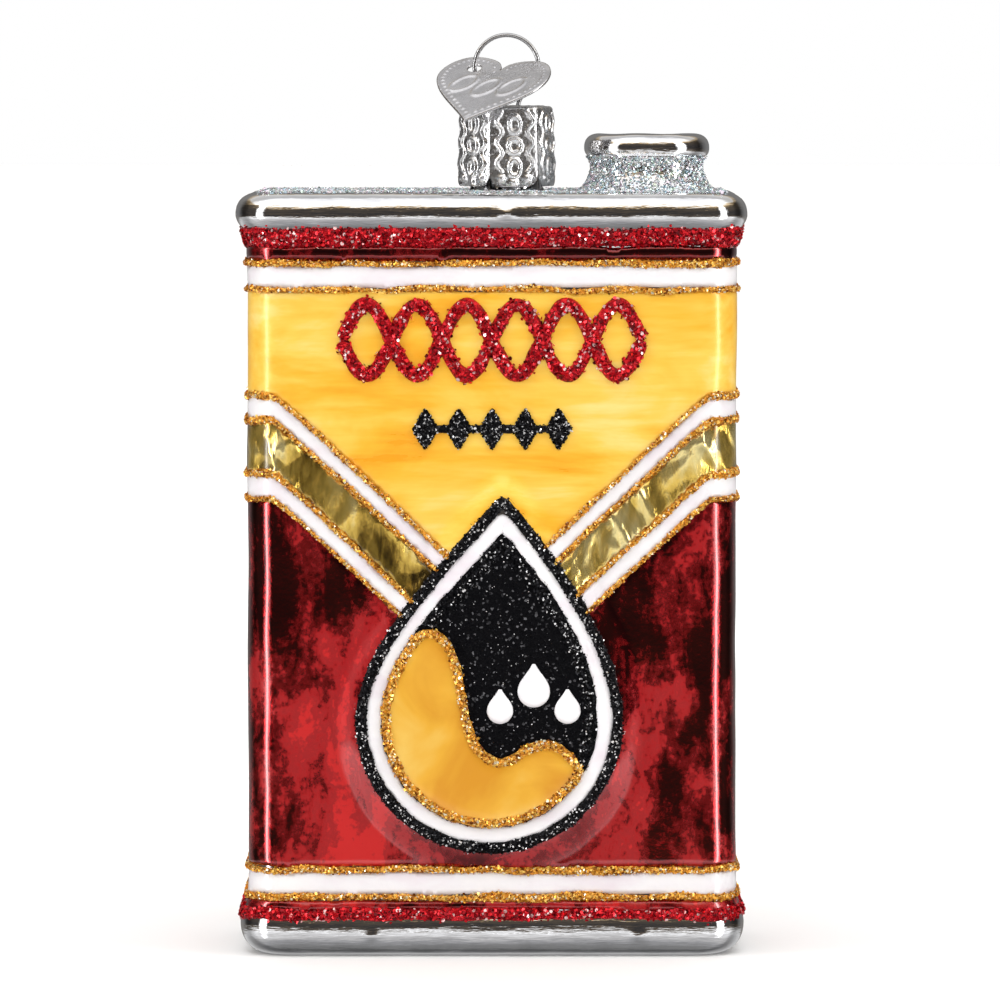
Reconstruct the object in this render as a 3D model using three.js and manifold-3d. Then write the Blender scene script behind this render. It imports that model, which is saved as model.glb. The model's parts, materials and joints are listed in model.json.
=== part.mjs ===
// A hanging glass ornament in the shape of a rectangular oil tin, in millimetres.
// +Z is up, the front face looks along -Y, and the origin is the middle of the flat base.
// The glass shell carries enamel, lacquer and glitter coats, each a thin solid of its own.
// The cap lifts off the glass neck, the wire hanger slides in the cap, and the tag swings.

import * as THREE from 'three';
import { mergeVertices } from 'three/addons/utils/BufferGeometryUtils.js';
import Module from 'manifold-3d';

const wasm = await Module();
wasm.setup();

// ---- driving dimensions -------------------------------------------------------------

const HALF_WIDTH = 27.5;         // wall of the can, measured from the middle
const HALF_DEPTH = 14.2;
const CORNER_RADIUS = 4.6;
const CORNER_STEPS = 5;
const DECK_Z = 86.2;             // top of the can
const GLASS = 1.0;               // thickness of the glass shell

const BOTTOM_BULGE = 1.05;       // how far the rolled rims stand out from the wall
const TOP_BULGE = 1.35;
const BOTTOM_RIM_Z = 3.4;        // height of the widest line of each rim
const TOP_RIM_Z = 83.7;
const BASE_INSET = 2.2;          // the flat base and the deck are smaller than the wall
const DECK_INSET = 1.5;
const WALL_START_Z = 8.0;        // where the rims have run out into the wall
const WALL_END_Z = 79.4;
const RIM_STEPS = 5;
const HOLLOW_STEPS = 2;          // the inside of the shell is drawn more coarsely

const SKIN_GAP = 0.05;           // air between two bonded layers
const COAT = 0.25;               // thickness of enamel and lacquer
const BEAD = 0.45;               // thickness of a line of glitter

// heights of the borders between the straight bands, from the top down
const RED_GLITTER_TOP = 82.3;
const RED_TOP = 80.0;
const TOP_GOLD_A = 78.8;
const TOP_WHITE = 77.8;
const TOP_GOLD_B = 75.8;
const YELLOW_TOP = 74.9;
const BOTTOM_GOLD_A = 10.4;
const BOTTOM_WHITE = 9.3;
const BOTTOM_GOLD_B = 7.3;
const BOTTOM_RED = 6.2;
const RED_GLITTER_BOTTOM = 5.6;
const RED_GLITTER_END = 4.1;

// borders of the bent bands on the side walls; on the faces they run down to the drop
const VEE_BORDERS = [64.0, 62.8, 61.2, 60.0, 55.1, 54.0, 52.2, 51.2];
const VEE_BEND_X = 24.7;
const VEE_SLOPE = 0.91;

// the oil drop on the front and the back
const DROP_APEX = new THREE.Vector2(1.2, 52.7);
const DROP_CENTRE = new THREE.Vector2(-0.3, 26.9);
const DROP_RADIUS = 15.1;
const DROP_STEPS = 12;
const DROP_APEX_SPREAD = 5.5;    // the flanks leave the apex towards this far out
const DROP_SHOULDER_Z = 46.2;    // and this far down
const DROP_FLANK_Z = 35.0;       // height that pulls the flanks round into the belly
const DROP_APEX_SINK = 1.55;     // how far the apex sinks for each millimetre of inset
const DROP_FACE = 15.3;          // the raised face of the drop, measured from the middle
const OUTLINE_WIDTH = 1.2;
const WHITE_WIDTH = 1.75;
const GOLD_LINE_WIDTH = 1.1;

// the false spout
const SPOUT_X = 17.65;
const SPOUT_TOP_Z = 92.7;
const SPOUT_LIP_RADIUS = 7.15;
const SPOUT_WAIST_RADIUS = 6.6;
const SPOUT_WAIST_Z = 88.7;
const SPOUT_FOOT_RADIUS = 8.3;
const ROUND_STEPS = 24;

// the neck and the cap over it
const CAP_X = 1.65;
const NECK_RADIUS = 4.1;
const NECK_BORE = 3.35;
const NECK_TOP_Z = 93.8;
const CAP_BOTTOM_Z = 86.75;
const CAP_TOP_Z = 95.85;
const CAP_TOP_RADIUS = 5.5;      // corner radius of the hexagon
const CAP_BOTTOM_RADIUS = 5.83;
const CAP_WALL = 0.35;
const CAP_TURN = THREE.MathUtils.degToRad(10);
const CAP_EDGE = 0.45;           // bevel round the top
const SLIT_WIDTH = 0.3;
const SLIT_TOP_Z = 94.6;
const WIRE_HOLE_RADIUS = 0.6;

// the wire hanger
const WIRE_RADIUS = 0.25;
const LOOP_RADIUS = 3.65;
const LOOP_Z = 100.3;
const LEG_X = 1.3;
const LEG_SPREAD_X = 2.75;
const LEG_END_Z = 81.8;
const LEG_BEND_Z = 89.6;
const WIRE_STEPS = 60;

// the heart tag
const TAG_WIDTH = 13.6;
const TAG_HEIGHT = 12.8;
const TAG_CLEFT = 2.6;
const TAG_THICKNESS = 0.3;
const TAG_HOLE_RADIUS = 0.85;
const TAG_HOLE = new THREE.Vector2(-3.2, 10.2);
const TAG_HEIGHT_ON_LOOP = 100.1;
const TAG_TILT = THREE.MathUtils.degToRad(57);
const TAG_LEAN = THREE.MathUtils.degToRad(7);
const TAG_YAW = THREE.MathUtils.degToRad(20);

const FAR = 60;                  // farther out than any part of the can

// ---- materials ----------------------------------------------------------------------

function material(color, roughness, metalness) {
  return new THREE.MeshStandardMaterial({ color, roughness, metalness });
}

const silver = material(0xc9c9cc, 0.08, 1.0);
const stampedTin = material(0xb4b4b6, 0.28, 1.0);
const springWire = material(0xa9abae, 0.22, 1.0);
const silverGlitter = material(0xc4ccd2, 0.45, 0.8);
const goldGlitter = material(0xc08a2e, 0.5, 0.7);
const redGlitter = material(0xb81828, 0.5, 0.6);
const blackGlitter = material(0x141414, 0.6, 0.3);
const redLacquer = material(0x8e0d14, 0.12, 0.8);
const goldLacquer = material(0x9a7a1e, 0.15, 0.9);
const yellowEnamel = material(0xf3b83c, 0.35, 0.1);
const whiteEnamel = material(0xf4f1f2, 0.35, 0.0);
const blackEnamel = material(0x0c0c0d, 0.4, 0.0);

// ---- solids -------------------------------------------------------------------------

function solidOf(geometry) {
  geometry.deleteAttribute('normal');
  geometry.deleteAttribute('uv');
  const merged = mergeVertices(geometry, 1e-4);
  return new wasm.Manifold(new wasm.Mesh({
    numProp: 3,
    vertProperties: merged.attributes.position.array,
    triVerts: merged.index.array,
  }));
}

function meshOf(name, solid, look) {
  const mesh = solid.getMesh();
  const geometry = new THREE.BufferGeometry();
  geometry.setAttribute('position', new THREE.BufferAttribute(mesh.vertProperties, 3));
  geometry.setIndex(new THREE.BufferAttribute(mesh.triVerts, 1));
  geometry.computeVertexNormals();
  const named = new THREE.Mesh(geometry, look);
  named.name = name;
  return named;
}

// a box given by its two corners
function box(from, to) {
  const size = new THREE.Vector3().subVectors(to, from);
  const geometry = new THREE.BoxGeometry(size.x, size.y, size.z);
  geometry.translate((from.x + to.x) / 2, (from.y + to.y) / 2, (from.z + to.z) / 2);
  return solidOf(geometry);
}

// everything between two heights
function slab(low, high) {
  return box(new THREE.Vector3(-FAR, -FAR, low), new THREE.Vector3(FAR, FAR, high));
}

// an outline drawn in X and Z, run along Y between two depths
function prism(outline, from, to) {
  const shape = outline instanceof THREE.Shape ? outline : new THREE.Shape(outline);
  const geometry = new THREE.ExtrudeGeometry(shape, {
    depth: to - from, bevelEnabled: false, curveSegments: 10,
  });
  geometry.rotateX(Math.PI / 2);
  geometry.translate(0, to, 0);
  return solidOf(geometry);
}

// a profile of radius and height, turned about a vertical line at x
function turned(profile, x) {
  const geometry = new THREE.LatheGeometry(profile, ROUND_STEPS);
  geometry.rotateX(Math.PI / 2);
  geometry.translate(x, 0, 0);
  return solidOf(geometry);
}

// a convex outline at each height, joined into one closed skin
function loft(sections) {
  const positions = [];
  const indices = [];
  const around = sections[0].points.length;
  for (const section of sections) {
    for (const point of section.points) {
      positions.push(point.x, point.y, section.z);
    }
  }
  for (let level = 0; level < sections.length - 1; level += 1) {
    for (let step = 0; step < around; step += 1) {
      const here = level * around + step;
      const next = level * around + (step + 1) % around;
      indices.push(here, next, next + around, here, next + around, here + around);
    }
  }
  const top = (sections.length - 1) * around;
  for (let step = 1; step < around - 1; step += 1) {
    indices.push(0, step + 1, step, top, top + step, top + step + 1);
  }
  const geometry = new THREE.BufferGeometry();
  geometry.setAttribute('position', new THREE.Float32BufferAttribute(positions, 3));
  geometry.setIndex(indices);
  return solidOf(geometry);
}

// ---- outlines -----------------------------------------------------------------------

function roundedRectangle(halfWidth, halfDepth, radius) {
  const points = [];
  for (let corner = 0; corner < 4; corner += 1) {
    const sideX = corner === 0 || corner === 3 ? 1 : -1;
    const sideY = corner < 2 ? 1 : -1;
    for (let step = 0; step <= CORNER_STEPS; step += 1) {
      const angle = (corner + step / CORNER_STEPS) * Math.PI / 2;
      points.push(new THREE.Vector2(
        sideX * (halfWidth - radius) + radius * Math.cos(angle),
        sideY * (halfDepth - radius) + radius * Math.sin(angle),
      ));
    }
  }
  return points;
}

// how far the glass stands out from the wall (x) at each height (y), from the base up
function canProfile(steps) {
  const path = new THREE.Path();
  path.moveTo(-BASE_INSET, 0);
  path.bezierCurveTo(-0.3, 0, BOTTOM_BULGE, 1.3, BOTTOM_BULGE, BOTTOM_RIM_Z);
  path.bezierCurveTo(BOTTOM_BULGE, 4.9, 0, 5.4, 0, WALL_START_Z);
  path.lineTo(0, WALL_END_Z);
  path.bezierCurveTo(0, 82.0, TOP_BULGE, 82.6, TOP_BULGE, TOP_RIM_Z);
  path.bezierCurveTo(TOP_BULGE, 85.3, 0.4, DECK_Z, -DECK_INSET, DECK_Z);
  return path.getPoints(steps);
}

// the can's own shape, grown or shrunk sideways by an offset
function canSolid(offset, steps) {
  return loft(canProfile(steps).map((point) => {
    const grow = point.x + offset;
    return {
      z: point.y,
      points: roundedRectangle(HALF_WIDTH + grow, HALF_DEPTH + grow, CORNER_RADIUS + grow),
    };
  }));
}

// a drop with a round belly and a point on top, drawn smaller by an inset all round
function dropOutline(inset) {
  const low = DROP_CENTRE.y;
  const radius = DROP_RADIUS - inset;
  const left = DROP_CENTRE.x - radius;
  const right = DROP_CENTRE.x + radius;
  const sink = inset * DROP_APEX_SINK;
  const apexZ = DROP_APEX.y - sink;
  const shoulderX = DROP_APEX_SPREAD;
  const shoulderZ = DROP_SHOULDER_Z - sink;
  const shape = new THREE.Shape();
  shape.moveTo(DROP_APEX.x, apexZ);
  shape.bezierCurveTo(DROP_APEX.x - shoulderX, shoulderZ, left, DROP_FLANK_Z, left, low);
  shape.absarc(DROP_CENTRE.x, low, radius, Math.PI, 2 * Math.PI, false);
  shape.bezierCurveTo(right, DROP_FLANK_Z, DROP_APEX.x + shoulderX, shoulderZ, DROP_APEX.x, apexZ);
  return shape.getPoints(DROP_STEPS).slice(0, -1);
}

// the surface of the oil that stands in the drop, with two crests, sunk by a distance
function oilOutline(sink) {
  const shape = new THREE.Shape();
  shape.moveTo(-FAR, 0);
  shape.lineTo(FAR, 0);
  shape.lineTo(FAR, 19.4 - sink);
  shape.lineTo(13.0, 19.4 - sink);
  shape.bezierCurveTo(9.8 - sink, 20.8 - sink, 9.0 - sink, 25.0 - sink, 5.6, 24.7 - sink);
  shape.bezierCurveTo(2.8, 24.4 - sink, 2.2, 21.4 - sink, -0.4 - sink / 2, 23.0 - sink / 2);
  shape.bezierCurveTo(-4.0 - sink, 25.4, -2.0 - sink, 36.2 - sink, -6.6, 37.2 - sink);
  shape.bezierCurveTo(-9.0, 37.6 - sink, -11.0, 35.6 - sink, -13.5, 34.8 - sink);
  shape.lineTo(-FAR, 34.8 - sink);
  return shape;
}

// a drawn line of even width, with square ends
function stroke(curve, width, steps) {
  const one = [];
  const other = [];
  for (let step = 0; step <= steps; step += 1) {
    const at = curve.getPoint(step / steps);
    const along = curve.getTangent(step / steps);
    one.push(new THREE.Vector2(at.x - along.y * width / 2, at.y + along.x * width / 2));
    other.push(new THREE.Vector2(at.x + along.y * width / 2, at.y - along.x * width / 2));
  }
  return one.concat(other.reverse());
}

// ---- the glass ----------------------------------------------------------------------

function spoutProfile(grow, steps) {
  const path = new THREE.Path();
  path.moveTo(0, DECK_Z - 2.5);
  path.lineTo(SPOUT_FOOT_RADIUS + grow, DECK_Z - 2.5);
  path.lineTo(SPOUT_FOOT_RADIUS + grow, DECK_Z);
  path.bezierCurveTo(
    SPOUT_WAIST_RADIUS + 0.6 + grow, DECK_Z + 0.4,
    SPOUT_WAIST_RADIUS + grow, SPOUT_WAIST_Z - 1.2,
    SPOUT_WAIST_RADIUS + grow, SPOUT_WAIST_Z,
  );
  path.bezierCurveTo(
    SPOUT_WAIST_RADIUS + grow, SPOUT_WAIST_Z + 0.9,
    SPOUT_LIP_RADIUS + grow, SPOUT_WAIST_Z + 1.0,
    SPOUT_LIP_RADIUS + grow, SPOUT_WAIST_Z + 2.2,
  );
  path.bezierCurveTo(
    SPOUT_LIP_RADIUS + grow, SPOUT_TOP_Z - 0.5,
    SPOUT_LIP_RADIUS - 0.8 + grow, SPOUT_TOP_Z + grow,
    SPOUT_LIP_RADIUS - 1.8 + grow, SPOUT_TOP_Z + grow,
  );
  path.lineTo(0, SPOUT_TOP_Z - 0.5 + grow);
  return path.getPoints(steps);
}

function rod(radius, low, high, x) {
  const geometry = new THREE.CylinderGeometry(radius, radius, high - low, ROUND_STEPS);
  geometry.rotateX(Math.PI / 2);
  geometry.translate(x, 0, (low + high) / 2);
  return solidOf(geometry);
}

function glassBody() {
  const hollow = canSolid(-GLASS, HOLLOW_STEPS)
    .intersect(slab(GLASS, DECK_Z - GLASS))
    .add(prism(dropOutline(GLASS), GLASS - DROP_FACE, DROP_FACE - GLASS))
    .add(turned(spoutProfile(-GLASS, HOLLOW_STEPS), SPOUT_X))
    .add(rod(NECK_BORE, DECK_Z - 2 * GLASS, NECK_TOP_Z + GLASS, CAP_X));
  return canSolid(0, RIM_STEPS)
    .add(prism(dropOutline(0), -DROP_FACE, DROP_FACE))
    .add(turned(spoutProfile(0, RIM_STEPS), SPOUT_X))
    .add(rod(NECK_RADIUS, DECK_Z - GLASS, NECK_TOP_Z, CAP_X))
    .subtract(hollow);
}

// ---- coats round the can ------------------------------------------------------------

// a coat that follows the can all round, a gap away from the glass
function canShell(thickness) {
  return canSolid(SKIN_GAP + thickness, RIM_STEPS).subtract(canSolid(SKIN_GAP, RIM_STEPS));
}

const coatShell = canShell(COAT);
const beadShell = canShell(BEAD);

// cuts a hole for the drop, with the gap left round it
function dropHole() {
  return prism(dropOutline(-SKIN_GAP), -FAR, FAR);
}

// one straight band between two heights
function band(shell, high, low) {
  return shell.intersect(slab(low + SKIN_GAP / 2, high - SKIN_GAP / 2));
}

// the region below a bent border, as points in X and Z from left to right
function bentBorder(height) {
  const drop = VEE_SLOPE * VEE_BEND_X;
  return [
    new THREE.Vector2(-FAR, height),
    new THREE.Vector2(-VEE_BEND_X, height),
    new THREE.Vector2(0, height - drop),
    new THREE.Vector2(VEE_BEND_X, height),
    new THREE.Vector2(FAR, height),
  ];
}

function belowBend(height) {
  const corners = [new THREE.Vector2(FAR, -FAR), new THREE.Vector2(-FAR, -FAR)];
  return prism(bentBorder(height).concat(corners), -FAR, FAR);
}

// one bent band between two borders, on the left (-1) or the right (1) of the drop
function bentBand(shell, high, low, side) {
  const half = box(
    new THREE.Vector3(side < 0 ? -FAR : 0, -FAR, -FAR),
    new THREE.Vector3(side < 0 ? 0 : FAR, FAR, FAR * 2),
  );
  return shell
    .intersect(half)
    .intersect(belowBend(high - SKIN_GAP / 2))
    .subtract(belowBend(low + SKIN_GAP / 2))
    .subtract(dropHole());
}

function yellowPanel() {
  return band(coatShell, YELLOW_TOP, 0)
    .subtract(belowBend(VEE_BORDERS[0] + SKIN_GAP / 2))
    .subtract(dropHole());
}

function redPanel() {
  return band(coatShell, DECK_Z, BOTTOM_GOLD_A)
    .intersect(belowBend(VEE_BORDERS[VEE_BORDERS.length - 1] - SKIN_GAP / 2))
    .subtract(dropHole());
}

// glitter scattered thinly on the deck, clear of the cap and the spout
function deckGlitter() {
  const grow = -DECK_INSET - 0.3;
  const plate = roundedRectangle(HALF_WIDTH + grow, HALF_DEPTH + grow, CORNER_RADIUS + grow);
  return loft([
    { z: DECK_Z + SKIN_GAP, points: plate },
    { z: DECK_Z + SKIN_GAP + COAT, points: plate },
  ])
    .subtract(rod(SPOUT_FOOT_RADIUS + 0.3, DECK_Z - GLASS, DECK_Z + GLASS, SPOUT_X))
    .subtract(rod(NECK_RADIUS + 0.3, DECK_Z - GLASS, DECK_Z + GLASS, CAP_X));
}

function spoutGlitter() {
  return turned(spoutProfile(SKIN_GAP + COAT, RIM_STEPS), SPOUT_X)
    .subtract(turned(spoutProfile(SKIN_GAP, RIM_STEPS), SPOUT_X))
    .intersect(slab(DECK_Z + 0.1, SPOUT_WAIST_Z + 1.9));
}

// ---- the drop -----------------------------------------------------------------------

// a layer of the drop on one face (side -1 is the front), between two heights off the glass
function onDrop(outline, low, high, side) {
  const near = DROP_FACE + SKIN_GAP + low;
  const far = DROP_FACE + SKIN_GAP + high;
  return side < 0 ? prism(outline, -far, -near) : prism(outline, near, far);
}

function dropOutlineBead(side) {
  return onDrop(dropOutline(0), 0, BEAD, side)
    .subtract(onDrop(dropOutline(OUTLINE_WIDTH), -GLASS, BEAD + GLASS, side));
}

function dropWhiteLine(side) {
  const inner = OUTLINE_WIDTH + WHITE_WIDTH;
  return onDrop(dropOutline(OUTLINE_WIDTH + SKIN_GAP), 0, COAT, side)
    .subtract(onDrop(dropOutline(inner), -GLASS, COAT + GLASS, side));
}

// the region inside the white line, pulled in by an extra distance
function dropInside(extra, low, high, side) {
  const margin = OUTLINE_WIDTH + WHITE_WIDTH + SKIN_GAP + extra;
  return onDrop(dropOutline(margin), low, high, side);
}

function dropBlackField(side) {
  return dropInside(0, 0, COAT, side)
    .subtract(prism(oilOutline(-SKIN_GAP), -FAR, FAR));
}

function dropOil(side) {
  return dropInside(0, 0, COAT, side).intersect(prism(oilOutline(0), -FAR, FAR));
}

// glitter along the whole edge of the oil, on top of the enamel
function dropOilEdge(side) {
  const low = COAT + SKIN_GAP;
  const inner = dropInside(GOLD_LINE_WIDTH, low - GLASS, low + BEAD + GLASS, side)
    .intersect(prism(oilOutline(GOLD_LINE_WIDTH), -FAR, FAR));
  return dropInside(0, low, low + BEAD, side)
    .intersect(prism(oilOutline(0), -FAR, FAR))
    .subtract(inner);
}

// a small white drop, its point up
function dropletOutline(x, z, size) {
  const shape = new THREE.Shape();
  shape.moveTo(x, z + 1.9 * size);
  shape.bezierCurveTo(x - 0.3 * size, z + 1.1 * size, x - size, z + 0.7 * size, x - size, z);
  shape.absarc(x, z, size, Math.PI, 2 * Math.PI, false);
  shape.bezierCurveTo(x + size, z + 0.7 * size, x + 0.3 * size, z + 1.1 * size, x, z + 1.9 * size);
  return shape.getPoints(5).slice(0, -1);
}

const DROPLETS = [
  { x: 0.9, z: 28.0, size: 1.5 },
  { x: 4.7, z: 30.2, size: 1.85 },
  { x: 8.5, z: 28.0, size: 1.5 },
];

// ---- glitter motifs above the drop --------------------------------------------------

class Wave extends THREE.Curve {
  constructor(height, reach, swing, turns) {
    super();
    Object.assign(this, { height, reach, swing, turns });
  }

  getPoint(t) {
    const angle = t * this.turns * 2 * Math.PI;
    return new THREE.Vector2(
      (2 * t - 1) * this.reach,
      this.height + this.swing * Math.sin(angle),
    );
  }
}

const MOTIF_LOW = COAT + 2 * SKIN_GAP;
const RED_MOTIF = { z: 69.7, reach: 16.9, swing: 4.0, turns: 3, width: 1.55, steps: 30 };
const BLACK_MOTIF = { z: 59.7, reach: 9.0, count: 5, halfWidth: 1.5, halfHeight: 2.5, bar: 0.55 };

function onWall(outline, side) {
  const near = HALF_DEPTH + MOTIF_LOW;
  const far = near + BEAD;
  return side < 0 ? prism(outline, -far, -near) : prism(outline, near, far);
}

// two waves that cross like the strands of a plait
function redMotif(side) {
  const { z, reach, swing, turns, width, steps } = RED_MOTIF;
  const one = onWall(stroke(new Wave(z, reach, swing, turns), width, steps), side);
  const other = onWall(stroke(new Wave(z, reach, -swing, turns), width, steps), side);
  return one.add(other);
}

// a row of lozenges on a thin bar
function blackMotif(side) {
  const { z, reach, count, halfWidth, halfHeight, bar } = BLACK_MOTIF;
  let row = onWall([
    new THREE.Vector2(-reach, z - bar),
    new THREE.Vector2(reach, z - bar),
    new THREE.Vector2(reach, z + bar),
    new THREE.Vector2(-reach, z + bar),
  ], side);
  for (let index = 0; index < count; index += 1) {
    const x = (reach - halfWidth) * (2 * index / (count - 1) - 1);
    row = row.add(onWall([
      new THREE.Vector2(x - halfWidth, z),
      new THREE.Vector2(x, z - halfHeight),
      new THREE.Vector2(x + halfWidth, z),
      new THREE.Vector2(x, z + halfHeight),
    ], side));
  }
  return row;
}

// ---- cap, hanger and tag ------------------------------------------------------------

function hexagon(radius) {
  const points = [];
  for (let corner = 0; corner < 6; corner += 1) {
    const angle = CAP_TURN + corner * Math.PI / 3;
    points.push(new THREE.Vector2(CAP_X + radius * Math.cos(angle), radius * Math.sin(angle)));
  }
  return points;
}

// a slit between two petals, opening out at the foot into the petals' round corners
function slit(corner) {
  const half = SLIT_WIDTH / 2;
  const shape = new THREE.Shape();
  shape.moveTo(-1.1, CAP_BOTTOM_Z - GLASS);
  shape.lineTo(1.1, CAP_BOTTOM_Z - GLASS);
  shape.lineTo(1.1, CAP_BOTTOM_Z);
  shape.quadraticCurveTo(half + 0.1, CAP_BOTTOM_Z + 0.1, half, CAP_BOTTOM_Z + 1.3);
  shape.lineTo(half / 2, SLIT_TOP_Z);
  shape.lineTo(-half / 2, SLIT_TOP_Z);
  shape.lineTo(-half, CAP_BOTTOM_Z + 1.3);
  shape.quadraticCurveTo(-half - 0.1, CAP_BOTTOM_Z + 0.1, -1.1, CAP_BOTTOM_Z);
  const geometry = new THREE.ExtrudeGeometry(shape, {
    depth: CAP_BOTTOM_RADIUS, bevelEnabled: false, curveSegments: 4,
  });
  geometry.rotateX(Math.PI / 2);
  geometry.translate(0, CAP_BOTTOM_RADIUS + 2, 0);
  geometry.rotateZ(CAP_TURN + corner * Math.PI / 3 - Math.PI / 2);
  geometry.translate(CAP_X, 0, 0);
  return solidOf(geometry);
}

function capCrown() {
  const bevelStart = CAP_TOP_Z - CAP_EDGE;
  let cap = loft([
    { z: CAP_BOTTOM_Z, points: hexagon(CAP_BOTTOM_RADIUS) },
    { z: bevelStart, points: hexagon(CAP_TOP_RADIUS) },
    { z: CAP_TOP_Z, points: hexagon(CAP_TOP_RADIUS - CAP_EDGE) },
  ]);
  cap = cap.subtract(loft([
    { z: CAP_BOTTOM_Z - GLASS, points: hexagon(CAP_BOTTOM_RADIUS - CAP_WALL) },
    { z: bevelStart, points: hexagon(CAP_TOP_RADIUS - CAP_WALL) },
    { z: CAP_TOP_Z - CAP_WALL, points: hexagon(CAP_TOP_RADIUS - CAP_EDGE - CAP_WALL) },
  ]));
  for (let corner = 0; corner < 6; corner += 1) {
    cap = cap.subtract(slit(corner));
  }
  for (const side of [-1, 1]) {
    const x = CAP_X + side * LEG_X;
    cap = cap.subtract(rod(WIRE_HOLE_RADIUS, CAP_TOP_Z - GLASS, CAP_TOP_Z + GLASS, x));
  }
  return cap;
}

// up the left leg, round the loop and down the right leg
function wirePath() {
  const left = [
    new THREE.Vector3(-LEG_SPREAD_X, 0, LEG_END_Z),
    new THREE.Vector3(-LEG_SPREAD_X + 0.25, 0, LEG_END_Z + 2.4),
    new THREE.Vector3(-LEG_X - 0.35, 0, LEG_BEND_Z - 1.6),
    new THREE.Vector3(-LEG_X, 0, LEG_BEND_Z),
    new THREE.Vector3(-LEG_X, 0, (LEG_BEND_Z + CAP_TOP_Z) / 2),
    new THREE.Vector3(-LEG_X, 0, CAP_TOP_Z),
  ];
  const loop = [];
  const start = THREE.MathUtils.degToRad(238);
  const end = THREE.MathUtils.degToRad(-58);
  const steps = 14;
  for (let step = 0; step <= steps; step += 1) {
    const angle = start + (end - start) * step / steps;
    loop.push(new THREE.Vector3(
      LOOP_RADIUS * Math.cos(angle), 0, LOOP_Z + LOOP_RADIUS * Math.sin(angle),
    ));
  }
  const right = left.map((point) => new THREE.Vector3(-point.x, 0, point.z)).reverse();
  const points = left.concat(loop, right);
  return new THREE.CatmullRomCurve3(points.map((point) => point.setX(point.x + CAP_X)));
}

function hangerWire() {
  const section = new THREE.Shape();
  section.absarc(0, 0, WIRE_RADIUS, 0, 2 * Math.PI, false);
  return solidOf(new THREE.ExtrudeGeometry(section, {
    steps: WIRE_STEPS, extrudePath: wirePath(), curveSegments: 4,
  }));
}

// one half of the heart, from the cleft over the lobe to the tip; side -1 is the left
function heartHalf(shape, side) {
  const half = side * TAG_WIDTH / 2;
  const cleft = TAG_HEIGHT - TAG_CLEFT;
  const curves = [
    [[0, cleft], [0.02 * half, cleft + 0.7 * TAG_CLEFT], [0.23 * half, TAG_HEIGHT],
      [0.52 * half, TAG_HEIGHT]],
    [[0.52 * half, TAG_HEIGHT], [0.78 * half, TAG_HEIGHT], [half, 0.83 * TAG_HEIGHT],
      [half, 0.66 * TAG_HEIGHT]],
    [[half, 0.66 * TAG_HEIGHT], [half, 0.4 * TAG_HEIGHT], [0.35 * half, 0.22 * TAG_HEIGHT],
      [0, 0]],
  ];
  if (side < 0) {
    for (const [, a, b, c] of curves) {
      shape.bezierCurveTo(...a, ...b, ...c);
    }
  } else {
    for (const [a, b, c] of curves.reverse()) {
      shape.bezierCurveTo(...c, ...b, ...a);
    }
  }
}

function heartTag() {
  const shape = new THREE.Shape();
  shape.moveTo(0, TAG_HEIGHT - TAG_CLEFT);
  heartHalf(shape, -1);
  heartHalf(shape, 1);
  const hole = new THREE.Path();
  hole.absarc(TAG_HOLE.x, TAG_HOLE.y, TAG_HOLE_RADIUS, 0, 2 * Math.PI, true);
  shape.holes.push(hole);
  const geometry = new THREE.ExtrudeGeometry(shape, {
    depth: TAG_THICKNESS, bevelEnabled: false, curveSegments: 8,
  });
  geometry.translate(-TAG_HOLE.x, -TAG_HOLE.y, -TAG_THICKNESS / 2);
  geometry.rotateX(Math.PI / 2);
  const tag = meshOf('heart_tag', solidOf(geometry), stampedTin);
  tag.rotation.set(-TAG_TILT, TAG_LEAN, -TAG_YAW, 'ZXY');
  tag.position.set(CAP_X - LOOP_RADIUS, 0, TAG_HEIGHT_ON_LOOP);
  return tag;
}

// ---- the ornament -------------------------------------------------------------------

const ornament = new THREE.Group();

ornament.add(
  meshOf('glass_body', glassBody(), silver),
  meshOf('silver_glitter_deck', deckGlitter(), silverGlitter),
  meshOf('silver_glitter_spout', spoutGlitter(), silverGlitter),
  meshOf('red_glitter_top', band(beadShell, RED_GLITTER_TOP, RED_TOP), redGlitter),
  meshOf('red_lacquer_top', band(coatShell, RED_TOP, TOP_GOLD_A), redLacquer),
  meshOf('gold_line_top_upper', band(beadShell, TOP_GOLD_A, TOP_WHITE), goldGlitter),
  meshOf('white_band_top', band(coatShell, TOP_WHITE, TOP_GOLD_B), whiteEnamel),
  meshOf('gold_line_top_lower', band(beadShell, TOP_GOLD_B, YELLOW_TOP), goldGlitter),
  meshOf('yellow_panel', yellowPanel(), yellowEnamel),
  meshOf('red_lacquer_panel', redPanel(), redLacquer),
  meshOf('gold_line_bottom_upper', band(beadShell, BOTTOM_GOLD_A, BOTTOM_WHITE), goldGlitter),
  meshOf('white_band_bottom', band(coatShell, BOTTOM_WHITE, BOTTOM_GOLD_B), whiteEnamel),
  meshOf('gold_line_bottom_lower', band(beadShell, BOTTOM_GOLD_B, BOTTOM_RED), goldGlitter),
  meshOf('red_lacquer_bottom', band(coatShell, BOTTOM_RED, RED_GLITTER_BOTTOM), redLacquer),
  meshOf('red_glitter_bottom', band(beadShell, RED_GLITTER_BOTTOM, RED_GLITTER_END), redGlitter),
);

const BENT_BANDS = [
  ['gold_line_bend_1', beadShell, goldGlitter],
  ['white_bend_upper', coatShell, whiteEnamel],
  ['gold_line_bend_2', beadShell, goldGlitter],
  ['gold_bend', coatShell, goldLacquer],
  ['gold_line_bend_3', beadShell, goldGlitter],
  ['white_bend_lower', coatShell, whiteEnamel],
  ['gold_line_bend_4', beadShell, goldGlitter],
];

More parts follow.
